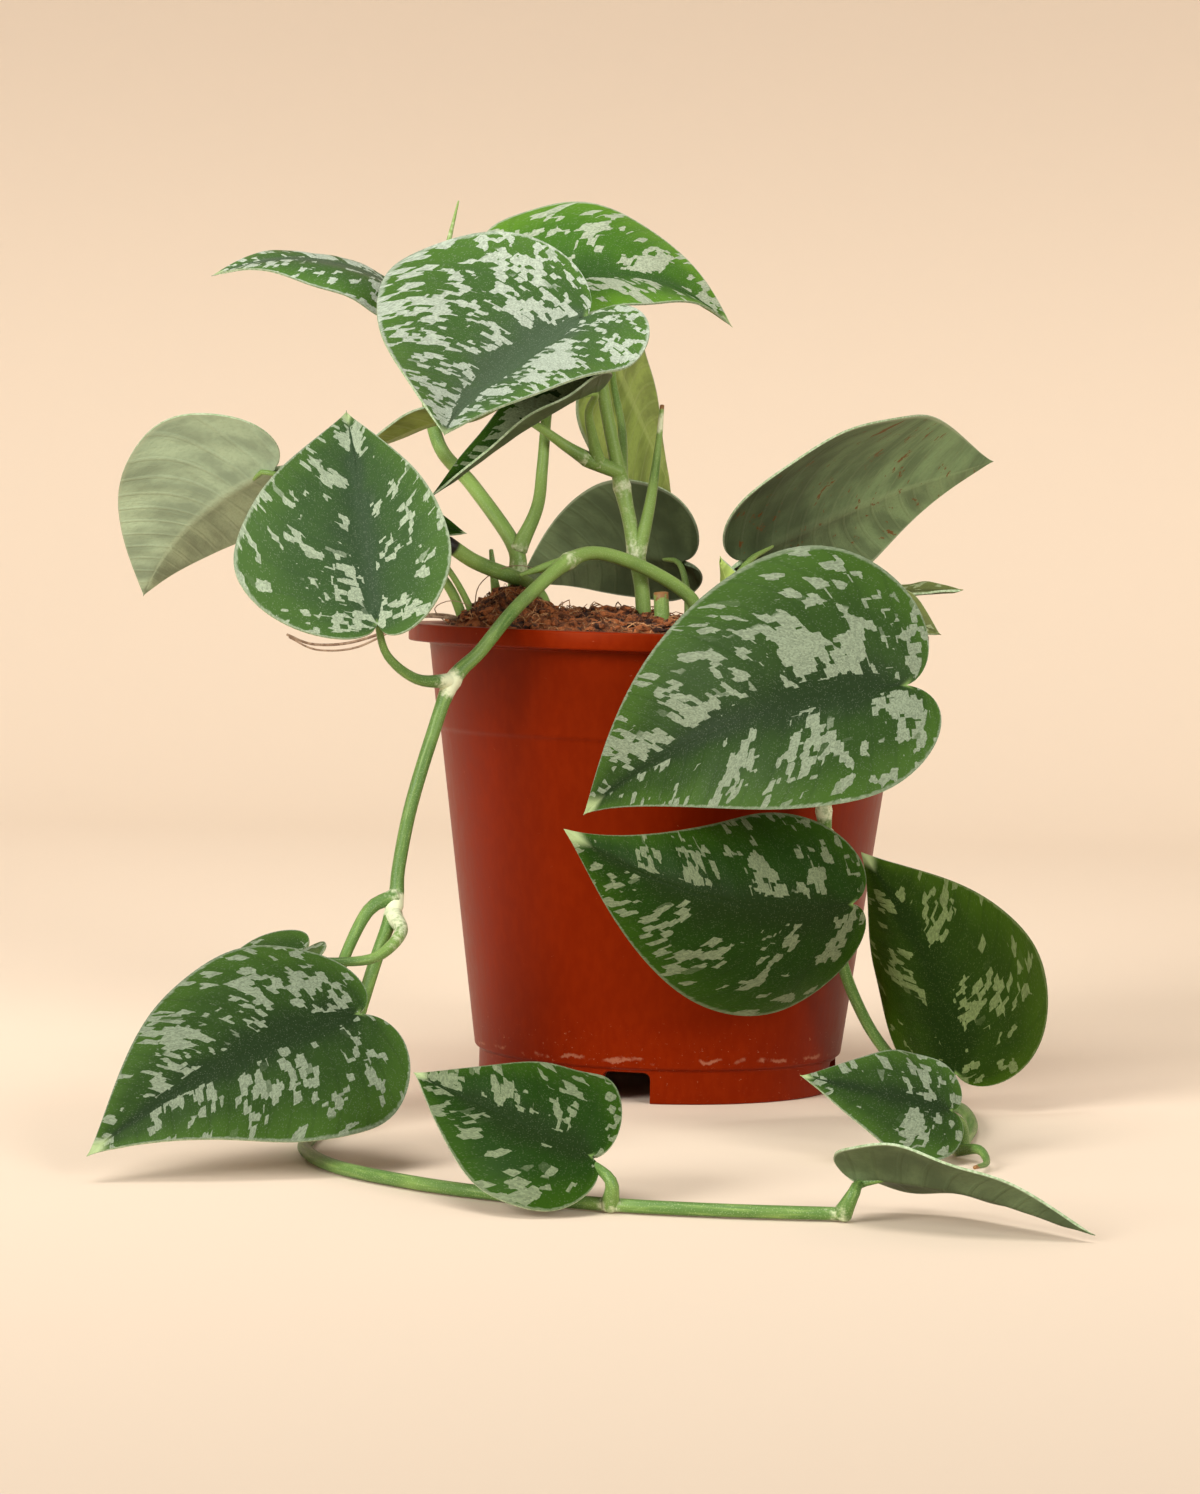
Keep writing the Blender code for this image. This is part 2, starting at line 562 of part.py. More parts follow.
def finish(thing, look, plant):
    """Give an object its material, smooth shading and its place on the pot's axis."""
    colour, roughness = look
    material = bpy.data.materials.new(thing.name)
    material.use_nodes = True
    shader = material.node_tree.nodes["Principled BSDF"]
    shader.inputs["Base Color"].default_value = (*colour, 1.0)
    shader.inputs["Roughness"].default_value = roughness
    shader.inputs["Metallic"].default_value = 0.0
    thing.data.materials.clear()
    thing.data.materials.append(material)
    thing.data.shade_smooth()
    thing.data.set_sharp_from_angle(angle=radians(35))
    thing.parent = plant


def build():
    """Clear the scene and build the pot, the soil, the stems and the leaves."""
    for thing in list(bpy.data.objects):
        bpy.data.objects.remove(thing, do_unlink=True)
    plant = bpy.data.objects.new("plant", None)
    bpy.context.scene.collection.objects.link(plant)
    plant.location = pot_axis * millimetre
    finish(make_pot(), pot_finish, plant)
    finish(make_soil(), soil_finish, plant)
    for name in stems:
        finish(make_stem(name), stem_finish, plant)
    for name, leaf in leaves.items():
        finish(make_leaf(name, leaf), leaf_finish, plant)


build()
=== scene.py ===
# Satin pothos in a terracotta-coloured nursery pot, with its two vines laid out on the surface.
# Table sizes are millimetres from the middle of the pot's foot: +X right, -Y to the front, +Z up.
import random
from math import cos, exp, pi, radians, sin, sqrt
import bpy
from mathutils import Matrix, Vector, noise


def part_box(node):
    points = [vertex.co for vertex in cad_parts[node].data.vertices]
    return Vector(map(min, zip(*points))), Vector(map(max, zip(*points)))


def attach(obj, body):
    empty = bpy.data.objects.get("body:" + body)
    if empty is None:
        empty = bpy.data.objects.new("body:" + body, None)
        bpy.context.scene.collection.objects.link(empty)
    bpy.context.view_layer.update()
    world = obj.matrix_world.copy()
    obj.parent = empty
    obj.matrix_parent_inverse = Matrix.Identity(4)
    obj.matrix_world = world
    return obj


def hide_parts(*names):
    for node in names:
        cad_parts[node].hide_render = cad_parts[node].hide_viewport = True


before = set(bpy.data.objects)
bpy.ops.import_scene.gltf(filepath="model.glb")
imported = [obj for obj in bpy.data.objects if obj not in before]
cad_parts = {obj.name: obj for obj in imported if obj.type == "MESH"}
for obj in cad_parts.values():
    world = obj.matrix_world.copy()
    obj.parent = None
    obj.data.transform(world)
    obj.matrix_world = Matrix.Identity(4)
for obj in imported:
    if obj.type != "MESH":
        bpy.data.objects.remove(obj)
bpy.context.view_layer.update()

mm = 0.001
potLow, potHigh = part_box("pot")
potFoot = Vector(((potLow[0] + potHigh[0]) / 2, (potLow[1] + potHigh[1]) / 2, potLow[2]))


# Helpers

def inPlace(point):                      # a table point, in the frame's metres
    return potFoot + Vector(point) * mm


def deselectAll():
    bpy.ops.object.select_all(action="DESELECT")


def pickOnly(piece):
    deselectAll()
    piece.select_set(True)
    bpy.context.view_layer.objects.active = piece


def editAll(piece, steps):               # run edit-mode steps on the whole mesh
    pickOnly(piece)
    bpy.ops.object.mode_set(mode="EDIT")
    bpy.ops.mesh.select_all(action="SELECT")
    steps()
    bpy.ops.object.mode_set(mode="OBJECT")


def closeSeams(piece, distance=0.00001):
    editAll(piece, lambda: bpy.ops.mesh.remove_doubles(threshold=distance))


def outwards(piece):
    editAll(piece, lambda: bpy.ops.mesh.normals_make_consistent(inside=False))


def applyAll(piece):
    pickOnly(piece)
    for modifier in list(piece.modifiers):
        bpy.ops.object.modifier_apply(modifier=modifier.name)


def smooth(piece, angle):
    pickOnly(piece)
    bpy.ops.object.shade_smooth_by_angle(angle=radians(angle))


def joinInto(target, others):
    pickOnly(target)
    for other in others:
        other.select_set(True)
    bpy.ops.object.join()


def gridPiece(name, columns, rows, shape, maps=()):
    # a grid primitive whose points go to shape(u, v) -> (point, {map name: value}); 2 numbers make
    # a UV map and 4 make a colour attribute
    deselectAll()
    bpy.ops.mesh.primitive_grid_add(x_subdivisions=columns, y_subdivisions=rows, size=1)
    piece = bpy.context.active_object
    piece.name = name
    mesh = piece.data
    mesh.name = name
    mesh.uv_layers.remove(mesh.uv_layers[0])
    values = []
    for vert in mesh.vertices:
        point, extra = shape(vert.co.x + 0.5, vert.co.y + 0.5)
        vert.co = inPlace(point)
        values.append(extra)
    for key, size in maps:
        if size == 2:
            layer = mesh.uv_layers.new(name=key)
            for loop in mesh.loops:
                layer.data[loop.index].uv = values[loop.vertex_index][key]
        else:
            layer = mesh.attributes.new(key, "FLOAT_COLOR", "POINT")
            for index, extra in enumerate(values):
                layer.data[index].color = extra[key]
    return piece


def dress(piece, *names):                # one finish for each of the piece's material slots
    piece.data.materials.clear()
    for name in names:
        piece.data.materials.append(finishes[name])


def addTo(piece, slotName, *nodes):      # every piece rides on the plant's one body
    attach(piece, "root")
    if nodes:
        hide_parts(*nodes)


# Material helpers

def newMaterial(name, **settings):
    material = bpy.data.materials.new(name)
    material.use_nodes = True
    shader = material.node_tree.nodes["Principled BSDF"]
    for key, value in settings.items():
        shader.inputs[key.replace("_", " ")].default_value = value
    return material, material.node_tree, shader


def add(tree, kind, sockets=None, **settings):
    made = tree.nodes.new("ShaderNode" + kind)
    for key, value in settings.items():
        setattr(made, key, value)
    for key, value in (sockets or {}).items():
        if isinstance(value, bpy.types.NodeSocket):
            tree.links.new(value, made.inputs[key])
        else:
            made.inputs[key].default_value = value
    return made


def math(operation, a, b):               # a socket knows the tree that it belongs to
    return add(a.id_data, "Math", {0: a, 1: b}, operation=operation).outputs[0]


def times(a, b):
    return math("MULTIPLY", a, b)


def plus(a, b):
    return math("ADD", a, b)


def swing(value, width):                 # a noise value moved to lie round zero
    return times(math("SUBTRACT", value, 0.5), width)


def ranged(value, low, high, toLow=0.0, toHigh=1.0, kind="SMOOTHSTEP"):
    sockets = {"Value": value, "From Min": low, "From Max": high, "To Min": toLow, "To Max": toHigh}
    return add(value.id_data, "MapRange", sockets, interpolation_type=kind).outputs["Result"]


def mixed(factor, a, b):
    first, second = [(*c, 1.0) if isinstance(c, tuple) else c for c in (a, b)]
    return add(factor.id_data, "Mix", {0: factor, 6: first, 7: second}, data_type="RGBA").outputs[2]


def toned(colour, amount):
    return tuple(min(1.0, c * amount) for c in colour)


def scaled(vector, scale, location=(0, 0, 0)):
    sockets = {"Vector": vector, "Location": location, "Scale": scale}
    return add(vector.id_data, "Mapping", sockets).outputs[0]


def noisy(vector, scale, detail, rough=0.5, distortion=0.0):
    return add(vector.id_data, "TexNoise", {"Vector": vector, "Scale": scale, "Detail": detail,
                                            "Roughness": rough, "Distortion": distortion}).outputs["Fac"]


def stretched(flat, scales, detail, rough=0.5, location=(0, 0, 0)):   # noise with a scale each way
    return noisy(scaled(flat, (*scales, 1), location), 1.0, detail, rough)


def cellular(vector, scale, **settings):
    return add(vector.id_data, "TexVoronoi", {"Vector": vector, "Scale": scale}, **settings).outputs


def channels(colour):
    return add(colour.id_data, "SeparateColor", {0: colour}).outputs


def painted(tree, name):                 # the channels of a piece's colour attribute
    return channels(add(tree, "Attribute", attribute_name=name).outputs["Color"])


def bumped(height, strength, distance):
    sockets = {"Height": height, "Strength": strength, "Distance": distance}
    return add(height.id_data, "Bump", sockets).outputs[0]


def uvPlace(tree, name):
    return add(tree, "UVMap", uv_map=name).outputs[0]


def objectPlace(tree):
    return add(tree, "TexCoord").outputs["Object"]


def finishShader(shader, colour=None, roughness=None, normal=None):
    for key, value in (("Base Color", colour), ("Roughness", roughness), ("Normal", normal)):
        if value is not None:
            shader.id_data.links.new(value, shader.inputs[key])


# Shapes of blades and tubes, as in the solids

leafForm = dict(
    lobe=[(0.0, 0.0), (-0.16, 0.12), (-0.06, 1.0), (0.22, 1.0)],   # (share of length, share of width)
    taper=[(0.22, 1.0), (0.50, 1.0), (0.84, 0.16), (1.0, 0.0)],
    lobeShare=0.4,
    waves=2.0,
    rightWaveShift=1.3,
    thickness=0.7,
    ribHeight=0.7,
    ribWidth=1.7,
    valley=(3.2, 0.35),            # the fold is rounded this near the midrib: in mm, and of the half width
    crowding=1.6,                  # the midrib's points crowd towards the stalk
    thinning=(0.15, 0.35),         # the thickness left at the tip, and the part lost at the margin
    largeFrom=28,                  # longer leaves get the finer grid
    veinSpacing=7.0,               # between the side veins, along the midrib
    veinLean=(0.6, 0.015),         # how far forward a side vein runs: per mm out, and per mm squared
    puff=(0.08, 60))               # it swells a little between side veins, less below this length


def bezier(points, t):
    weights = ((1 - t) ** 3, 3 * (1 - t) ** 2 * t, 3 * (1 - t) * t * t, t ** 3)
    return tuple(sum(w * p[axis] for w, p in zip(weights, points)) for axis in (0, 1))


def halfOutline(along):
    split = leafForm["lobeShare"]
    if along < split:
        return bezier(leafForm["lobe"], along / split)
    return bezier(leafForm["taper"], (along - split) / (1 - split))


def arc(angle, share):                   # forward and off the chord, for an arc of length 1
    angle = angle if abs(angle) > 1e-4 else 1e-4
    here = angle * (0.5 - share)
    return (sin(angle / 2) - sin(here)) / angle, (cos(here) - cos(angle / 2)) / angle


def smoothStep(value, low, high):
    t = min(1.0, max(0.0, (value - low) / (high - low)))
    return t * t * (3 - 2 * t)


def leafAxes(leaf):                      # along the midrib, to the leaf's left, up from its face
    forward = (Vector(leaf["tip"]) - Vector(leaf["base"])).normalized()
    level = Vector((0, 0, 1)).cross(forward).normalized()
    upright = forward.cross(level)
    turn = radians(leaf["roll"])
    return forward, level * cos(turn) + upright * sin(turn), upright * cos(turn) - level * sin(turn)


def bladePoint(leaf, along, across):
    # the blade's middle surface; along 0 to 1, across -1 (right) to 1 (left)
    forward, left, up = leafAxes(leaf)
    arch, sweep = radians(leaf["arch"]), radians(leaf["sweep"])
    base = Vector(leaf["base"])
    length = (Vector(leaf["tip"]) - base).length / arc(arch, 1.0)[0]
    halfWidth = leaf["left"] if across >= 0 else leaf["right"]
    marginU, marginV = halfOutline(along)
    centreU = along ** leafForm["crowding"]
    share = centreU + (marginU - centreU) * abs(across)
    out = abs(across) * marginV * halfWidth
    ahead, lift = arc(arch, share)
    aside = arc(sweep, share)[1]
    spine = base + length * (ahead * forward + aside * left + lift * up)
    pitch, yaw = arch * (0.5 - share), sweep * (0.5 - share)
    tangent = (cos(pitch) * cos(yaw) * forward + sin(yaw) * left + sin(pitch) * up).normalized()
    lateral = (left - left.dot(tangent) * tangent).normalized()
    normal = tangent.cross(lateral)
    fold, curl = radians(leaf["fold"]), radians(leaf["curl"]) / halfWidth
    curl = curl if abs(curl) > 1e-6 else 1e-6
    reach = (sin(fold) - sin(fold - curl * out)) / curl
    rise = (cos(fold - curl * out) - cos(fold)) / curl
    widest, valleyShare = leafForm["valley"]
    valley = min(widest, valleyShare * marginV * halfWidth)
    inside = max(0.0, 1 - out / valley) if valley > 0.01 else 0.0
    rise += sin(fold) * valley / 2 * inside ** 2
    shift = 0.0 if across >= 0 else leafForm["rightWaveShift"]
    ripple = sin(2 * pi * (leafForm["waves"] * share + leaf["phase"]) + shift)
    rise += leaf["wave"] * (out / halfWidth) ** 2 * ripple
    side = 1 if across > 0 else -1 if across < 0 else 0
    slope = (fold * (1 - inside) - curl * out) if side else 0.0
    facing = cos(slope) * normal - side * sin(slope) * lateral
    straight, bent = leafForm["veinLean"]
    vein = share * length - smoothStep(share, -0.15, 0.85) * (straight * out + bent * out * out)
    most, fullLength = leafForm["puff"]
    puff = most * 4 * abs(across) * (1 - abs(across)) * cos(2 * pi * vein / leafForm["veinSpacing"])
    point = spine + side * reach * lateral + rise * normal + facing * puff * min(1.0, length / fullLength)
    return point, facing, side * out, vein


def smoothRoute(points, spacing):        # a smooth curve through the points
    points = [Vector(point) for point in points]
    ends = [2 * points[0] - points[1]] + points + [2 * points[-1] - points[-2]]
    route = []
    for before, start, end, after in zip(ends, ends[1:], ends[2:], ends[3:]):
        steps = max(1, round((end - start).length / spacing))
        for step in range(steps):
            t = step / steps
            route.append(0.5 * (2 * start + (end - before) * t
                                + (2 * before - 5 * start + 4 * end - after) * t * t
                                + (3 * start - before - 3 * end + after) * t ** 3))
    return route + [points[-1]]


tubeForm = dict(
    swellings=((0.35, 4.0), (0.22, 0.9)),    # at a node, a broad one and a narrow ring: height, reach
    flareReach=4.0,
    capAngles=(90, 60, 30))


def tubePiece(name, route, radius, sides=16, spacing=1.6, nodes=(), marks=(), flare=0.0, blunt=0.5):
    # a closed tube on a route; marks colour it: (point, reach, (pale, brown, dark))
    points = smoothRoute(route, spacing)
    last = len(points) - 1
    tangents = [(points[min(i + 1, last)] - points[max(i - 1, 0)]).normalized() for i in range(last + 1)]
    side = tangents[0].orthogonal().normalized()
    rings = []
    distance = 0.0
    for index, (point, tangent) in enumerate(zip(points, tangents)):
        side = (side - side.dot(tangent) * tangent).normalized()
        distance += (point - points[index - 1]).length if index else 0.0
        here = radius[0] + (radius[1] - radius[0]) * index / last
        for node in nodes:
            away = (point - Vector(node)).length
            here += sum(height * exp(-(away / reach) ** 2) for height, reach in tubeForm["swellings"])
        here *= 1 + flare * exp(-distance / tubeForm["flareReach"])
        tone = [0.0, 0.0, 0.0]
        for spot, reach, colours in marks:
            weight = exp(-((point - Vector(spot)).length / reach) ** 2)
            tone = [min(1.0, old + weight * new) for old, new in zip(tone, colours)]
        rings.append((point, side, tangent, here, tone, distance))
    first, final = rings[0], rings[-1]
    steps = tubeForm["capAngles"]
    head = [(first[0] - first[2] * first[3] * blunt * sin(radians(a)), *first[1:3],
             first[3] * cos(radians(a)), first[4], 0.0) for a in steps]
    tail = [(final[0] + final[2] * final[3] * blunt * sin(radians(a)), *final[1:3],
             final[3] * cos(radians(a)), final[4], final[5]) for a in reversed(steps)]
    rings = head + rings + tail
    rows = len(rings) - 1

    def shape(u, v):
        point, across, tangent, here, tone, travelled = rings[round(v * rows)]
        angle = 2 * pi * u
        ring = across * cos(angle) + tangent.cross(across) * sin(angle)
        return point + ring * here, dict(bark=(u * 1.2, travelled / 10), tone=(*tone, 1.0))

    piece = gridPiece(name, sides, rows, shape, (("bark", 2), ("tone", 4)))
    closeSeams(piece, 0.000004)
    smooth(piece, 60)
    return piece


# Finishes

def fromPot(tree):                       # millimetres from the middle of the pot's foot
    moved = add(tree, "VectorMath", {0: objectPlace(tree), 1: potFoot}, operation="SUBTRACT").outputs[0]
    return add(tree, "VectorMath", {0: moved, 3: 1 / mm}, operation="SCALE").outputs[0]


# deep and shaded are the leaves' own darker green together with painted shade, for leaves that sit behind,
# under and low among the others
topPaints = {
    "fresh": dict(edge=(0.090, 0.208, 0.018), green=(0.051, 0.132, 0.015), band=(0.034, 0.086, 0.016),
                  silver=(0.361, 0.412, 0.294)),
    "bright": dict(edge=(0.062, 0.138, 0.023), green=(0.046, 0.100, 0.024), band=(0.056, 0.090, 0.047),
                   silver=(0.404, 0.464, 0.370)),
    "soft": dict(edge=(0.049, 0.102, 0.022), green=(0.035, 0.072, 0.022), band=(0.029, 0.054, 0.024),
                 silver=(0.292, 0.350, 0.242)),
    "mid": dict(edge=(0.037, 0.081, 0.012), green=(0.021, 0.047, 0.009), band=(0.013, 0.027, 0.008),
                silver=(0.188, 0.228, 0.152)),
    "deep": dict(edge=(0.020, 0.056, 0.003), green=(0.011, 0.034, 0.003), band=(0.010, 0.024, 0.004),
                 silver=(0.152, 0.188, 0.104)),
    "shaded": dict(edge=(0.030, 0.068, 0.003), green=(0.014, 0.035, 0.002), band=(0.008, 0.021, 0.002),
                   silver=(0.130, 0.175, 0.065)),
    "dull": dict(edge=(0.105, 0.125, 0.035), green=(0.085, 0.100, 0.030), band=(0.060, 0.070, 0.022),
                 silver=(0.210, 0.240, 0.120)),
}
underPaints = {                          # rust: brown streaks; foot: how strong the painted shadow is near the stalk
    "sage": dict(base=(0.305, 0.390, 0.255), vein=(0.350, 0.435, 0.290), rust=0.0, foot=0.0),
    "olive": dict(base=(0.270, 0.360, 0.080), vein=(0.360, 0.450, 0.140), rust=0.0, foot=0.0),
    "grey": dict(base=(0.090, 0.125, 0.058), vein=(0.070, 0.098, 0.042), rust=0.0, foot=0.0),
    "rusty": dict(base=(0.155, 0.235, 0.110), vein=(0.205, 0.285, 0.140), rust=1.0, foot=0.65),
    "brown": dict(base=(0.130, 0.145, 0.045), vein=(0.170, 0.180, 0.070), rust=0.4, foot=0.0),
}
# the leaves' own tints, and the dark colour of the painted shadow near the stalk on the under side
leafTints = dict(
    neck=(0.20, 0.32, 0.09), tip=(0.330, 0.420, 0.200), paintedShadow=(0.020, 0.028, 0.012),
    rust=(0.150, 0.056, 0.014), hem=(0.36, 0.42, 0.28), rim=((0.22, 0.31, 0.16), (0.36, 0.44, 0.28)))


silverPattern = dict(                    # blotches and spots step from cell to cell
    cells=(4.8, 7.6),                    # to a centimetre, out from the midrib and along it
    large=(0.66, 1.10), medium=(1.4, 2.8), small=(2.7, 3.5),       # how fast each size of mark changes
    mediumStart=(5.1, 2.3, 0), smallStart=(3.7, 1.9, 0),
    shares=(0.82, 0.18, 0.012),          # of large marks, medium marks and single cells
    blotchLevel=(0.556, 0.564), spotLevel=(0.650, 0.660), marginLevel=(0.962, 0.985))


def leafMaps(tree):                      # the vein map, the place on the blade, the side veins' ridges
    flat = uvPlace(tree, "veins")
    ridge = add(tree, "TexWave", {"Vector": flat, "Scale": 10 / leafForm["veinSpacing"] / 2,
                                  "Distortion": 0.6, "Detail": 1.0},
                bands_direction="Y", wave_profile="SIN").outputs["Fac"]
    return flat, painted(tree, "place"), ridge


def silverMask(flat, place):             # large blotches near the midrib, small spots further out
    across, more = place[0], math("SUBTRACT", place[2], 0.5)
    out, along = silverPattern["cells"]
    cells = cellular(scaled(flat, (out, along, 1)), 1.0, distance="CHEBYCHEV")
    stepped = scaled(cells["Position"], (1 / out, 1 / along, 1))
    chance = channels(cells["Color"])[1]
    large = stretched(stepped, silverPattern["large"], 0.0)
    medium = stretched(stepped, silverPattern["medium"], 0.0, location=silverPattern["mediumStart"])
    shares = silverPattern["shares"]
    cover = plus(times(large, shares[0]), times(medium, shares[1]))
    cover = plus(cover, times(chance, shares[2]))
    inner = ranged(across, 0.03, 0.17, -0.26, 0.0)
    outer = ranged(across, 0.55, 0.85, 0.0, -0.12)
    cover = plus(plus(inner, outer), plus(cover, more))
    small = stretched(stepped, silverPattern["small"], 0.0, location=silverPattern["smallStart"])
    spots = plus(plus(small, more), ranged(across, 0.20, 0.65, -0.25, 0.0))
    silver = math("MAXIMUM", ranged(cover, *silverPattern["blotchLevel"]),
                  ranged(spots, *silverPattern["spotLevel"]))
    rag = stretched(flat, (9, 9), 3.0)
    edgeLine = plus(across, swing(rag, 0.05))
    margin = ranged(edgeLine, *silverPattern["marginLevel"], 0.0, 0.75)
    return math("MAXIMUM", silver, margin)


def leafTop(name, paint):
    material, tree, shader = newMaterial("leafTop." + name, Specular_IOR_Level=0.05)
    flat, place, ridge = leafMaps(tree)
    across, along = place[0], place[1]
    silver = silverMask(flat, place)

    # green: dark along the midrib, brighter out to the margin, with faint side veins
    broad = stretched(flat, (0.8, 1.2), 3.0)
    wander = plus(across, swing(broad, 0.5))
    green = mixed(ranged(wander, 0.05, 0.42), paint["band"], paint["green"])
    green = mixed(ranged(wander, 0.5, 1.0), green, paint["edge"])
    veinLine = ranged(ridge, 0.90, 1.0)
    green = mixed(times(veinLine, 0.15), green, paint["band"])
    rib = ranged(across, 0.012, 0.035, 1.0, 0.0)
    green = mixed(times(rib, 0.10), green, toned(paint["band"], 0.6))
    neck = times(ranged(along, 0.02, 0.09, 1.0, 0.0), ranged(across, 0.2, 0.6, 1.0, 0.0))
    green = mixed(times(neck, 0.8), green, leafTints["neck"])

    # a fine grain of pale cells lies over everything
    grain = cellular(scaled(flat, (34, 34, 1)), 1.0)
    glitter = channels(grain["Color"])[0]
    speck = times(ranged(grain["Distance"], 0.30, 0.42, 1.0, 0.0), ranged(glitter, 0.55, 0.85))
    green = mixed(times(speck, 0.22), green, paint["silver"])
    pale = mixed(glitter, toned(paint["silver"], 0.70), toned(paint["silver"], 1.16))
    colour = mixed(times(silver, 0.94), green, pale)
    colour = mixed(ranged(along, 0.93, 0.97, 0, 0.9), colour, leafTints["tip"])
    roughness = ranged(silver, 0, 1, 0.42, 0.56, "LINEAR")
    relief = plus(times(glitter, 0.5), times(silver, 0.6))
    relief = math("SUBTRACT", relief, times(veinLine, 0.25))
    relief = math("SUBTRACT", relief, times(rib, 0.5))
    finishShader(shader, colour, roughness, bumped(relief, 0.35, 0.00025))
    return material


def leafUnder(name, paint):
    material, tree, shader = newMaterial("leafUnder." + name, Roughness=0.55, Specular_IOR_Level=0.10)
    flat, place, ridge = leafMaps(tree)
    across, along = place[0], place[1]
    streak = stretched(flat, (1.5, 11), 4.0, 0.6)
    veinLine = math("MAXIMUM", ranged(ridge, 0.88, 1.0), ranged(streak, 0.55, 0.72, 0, 0.5))
    cloud = stretched(flat, (0.9, 1.3), 3.0)
    colour = mixed(ranged(cloud, 0.35, 0.65), toned(paint["base"], 0.74), toned(paint["base"], 1.26))
    colour = mixed(times(veinLine, 0.32), colour, paint["vein"])
    rib = ranged(across, 0.03, 0.08, 1.0, 0.0)
    colour = mixed(times(rib, 0.5), colour, toned(paint["vein"], 1.2))
    mottle = stretched(flat, (14, 14), 3.0, 0.6)
    colour = mixed(ranged(mottle, 0.4, 0.8, 0, 0.35), colour, toned(paint["base"], 0.62))
    # painted shadow: the under side darkens towards the stalk, where a neighbouring leaf shades it
    paintedShadow = ranged(plus(along, times(cloud, 0.2)), 0.25, 0.90, paint["foot"], 0.0)
    colour = mixed(paintedShadow, colour, leafTints["paintedShadow"])
    rust = stretched(flat, (1.9, 2.5), 4.0, 0.75, (8, 3, 0))
    rusty = ranged(rust, 0.60, 0.635, 0, 0.9 * paint["rust"])
    colour = mixed(rusty, colour, leafTints["rust"])
    hem = ranged(across, 0.955, 0.985)
    colour = mixed(times(hem, 0.6), colour, leafTints["hem"])
    relief = plus(times(veinLine, 1.2), mottle)
    finishShader(shader, colour, None, bumped(relief, 0.3, 0.00025))
    return material


def leafRim():
    material, tree, shader = newMaterial("leafRim", Roughness=0.5, Specular_IOR_Level=0.3)
    fine = noisy(fromPot(tree), 1.5, 3.0)
    colour = mixed(ranged(fine, 0.4, 0.6), *leafTints["rim"])
    finishShader(shader, colour)
    return material


# low and high: the stem's green in painted shade near the soil and in painted light higher up
stemPaint = dict(
    low=(0.085, 0.170, 0.036), high=(0.205, 0.325, 0.076), streak=(0.320, 0.460, 0.120),
    freckle=(0.420, 0.520, 0.270), pale=(0.640, 0.680, 0.450), scar=(0.230, 0.110, 0.035),
    dark=(0.012, 0.010, 0.007))


def stemSkin():
    material, tree, shader = newMaterial("stemSkin", Roughness=0.42, Specular_IOR_Level=0.25)
    pale, brown, dark = painted(tree, "tone")
    here = fromPot(tree)
    height = add(tree, "SeparateXYZ", {0: here}).outputs[2]
    broad = noisy(here, 0.06, 2.0)
    # painted shade: stems are darker low down by the soil and lighter higher up, over a broad noise of
    # their own tone
    high = plus(broad, ranged(height, 92.0, 112.0, -0.18, 0.10))
    colour = mixed(ranged(high, 0.30, 0.68), stemPaint["low"], stemPaint["high"])
    streak = stretched(uvPlace(tree, "bark"), (9, 1.2), 3.0, 0.6)
    colour = mixed(ranged(streak, 0.45, 0.75, 0, 0.4), colour, stemPaint["streak"])
    dots = ranged(cellular(here, 2.8)["Distance"], 0.14, 0.34, 1.0, 0.0)
    colour = mixed(times(dots, 0.45), colour, stemPaint["freckle"])
    rough = noisy(here, 0.9, 4.0, 0.6)
    patch = plus(pale, swing(rough, 1.0))
    colour = mixed(ranged(patch, 0.30, 0.75), colour, stemPaint["pale"])
    scar = plus(brown, swing(rough, 1.6))
    colour = mixed(ranged(scar, 0.45, 0.60), colour, stemPaint["scar"])
    colour = mixed(ranged(dark, 0.35, 0.65), colour, stemPaint["dark"])
    relief = plus(times(streak, 0.8), times(dots, 0.5))
    finishShader(shader, colour, None, bumped(relief, 0.35, 0.0003))
    return material


potPaint = dict(
    dark=(0.158, 0.0096, 0.0004), light=(0.178, 0.0122, 0.0006), cloud=(0.134, 0.0080, 0.0004),
    gloss=(1.0, 0.42, 0.18, 1.0), scuff=(0.520, 0.270, 0.160),
    limeFrom=(9.0, 9.4), limeTo=(9.6, 10.2))   # heights between which the line of lime fades in and out


def potPlastic():
    material, tree, shader = newMaterial("potPlastic", Specular_IOR_Level=0.12,
                                         Specular_Tint=potPaint["gloss"])
    here = fromPot(tree)
    x, y, height = add(tree, "SeparateXYZ", {0: here}).outputs
    flat = add(tree, "CombineXYZ", {0: x, 1: y}).outputs[0]
    around = add(tree, "VectorMath", {0: flat}, operation="NORMALIZE").outputs[0]
    lifted = add(tree, "CombineXYZ", {2: times(height, 0.010)}).outputs[0]
    drawn = add(tree, "VectorMath", {0: around, 1: lifted}, operation="ADD").outputs[0]
    streak = noisy(drawn, 26.0, 4.0, 0.6)
    broad = noisy(here, 0.03, 3.0)
    colour = mixed(ranged(streak, 0.35, 0.70), potPaint["dark"], potPaint["light"])
    colour = mixed(ranged(broad, 0.45, 0.75, 0, 0.35), colour, potPaint["cloud"])

    # a thin broken line of lime just above the foot, and faint scuffs
    crust = noisy(here, 0.16, 5.0, 0.7)
    level = plus(height, swing(crust, 5.0))
    line = times(ranged(level, *potPaint["limeFrom"]), ranged(level, *potPaint["limeTo"], 1, 0))
    lime = times(line, ranged(noisy(here, 0.25, 3.0), 0.46, 0.60, 0, 0.32))
    scratch = noisy(scaled(drawn, (60, 60, 170)), 1.0, 3.0, 0.6, 0.8)
    low = ranged(height, 12.0, 24.0, 0.06, 0.0)
    scuff = ranged(plus(scratch, low), 0.72, 0.80, 0, 0.40)
    colour = mixed(math("MAXIMUM", lime, scuff), colour, potPaint["scuff"])
    roughness = ranged(streak, 0.3, 0.7, 0.34, 0.42, "LINEAR")
    fine = noisy(here, 1.6, 3.0)
    relief = plus(times(streak, 0.6), times(fine, 0.25))
    finishShader(shader, colour, roughness, bumped(relief, 0.12, 0.0003))
    return material


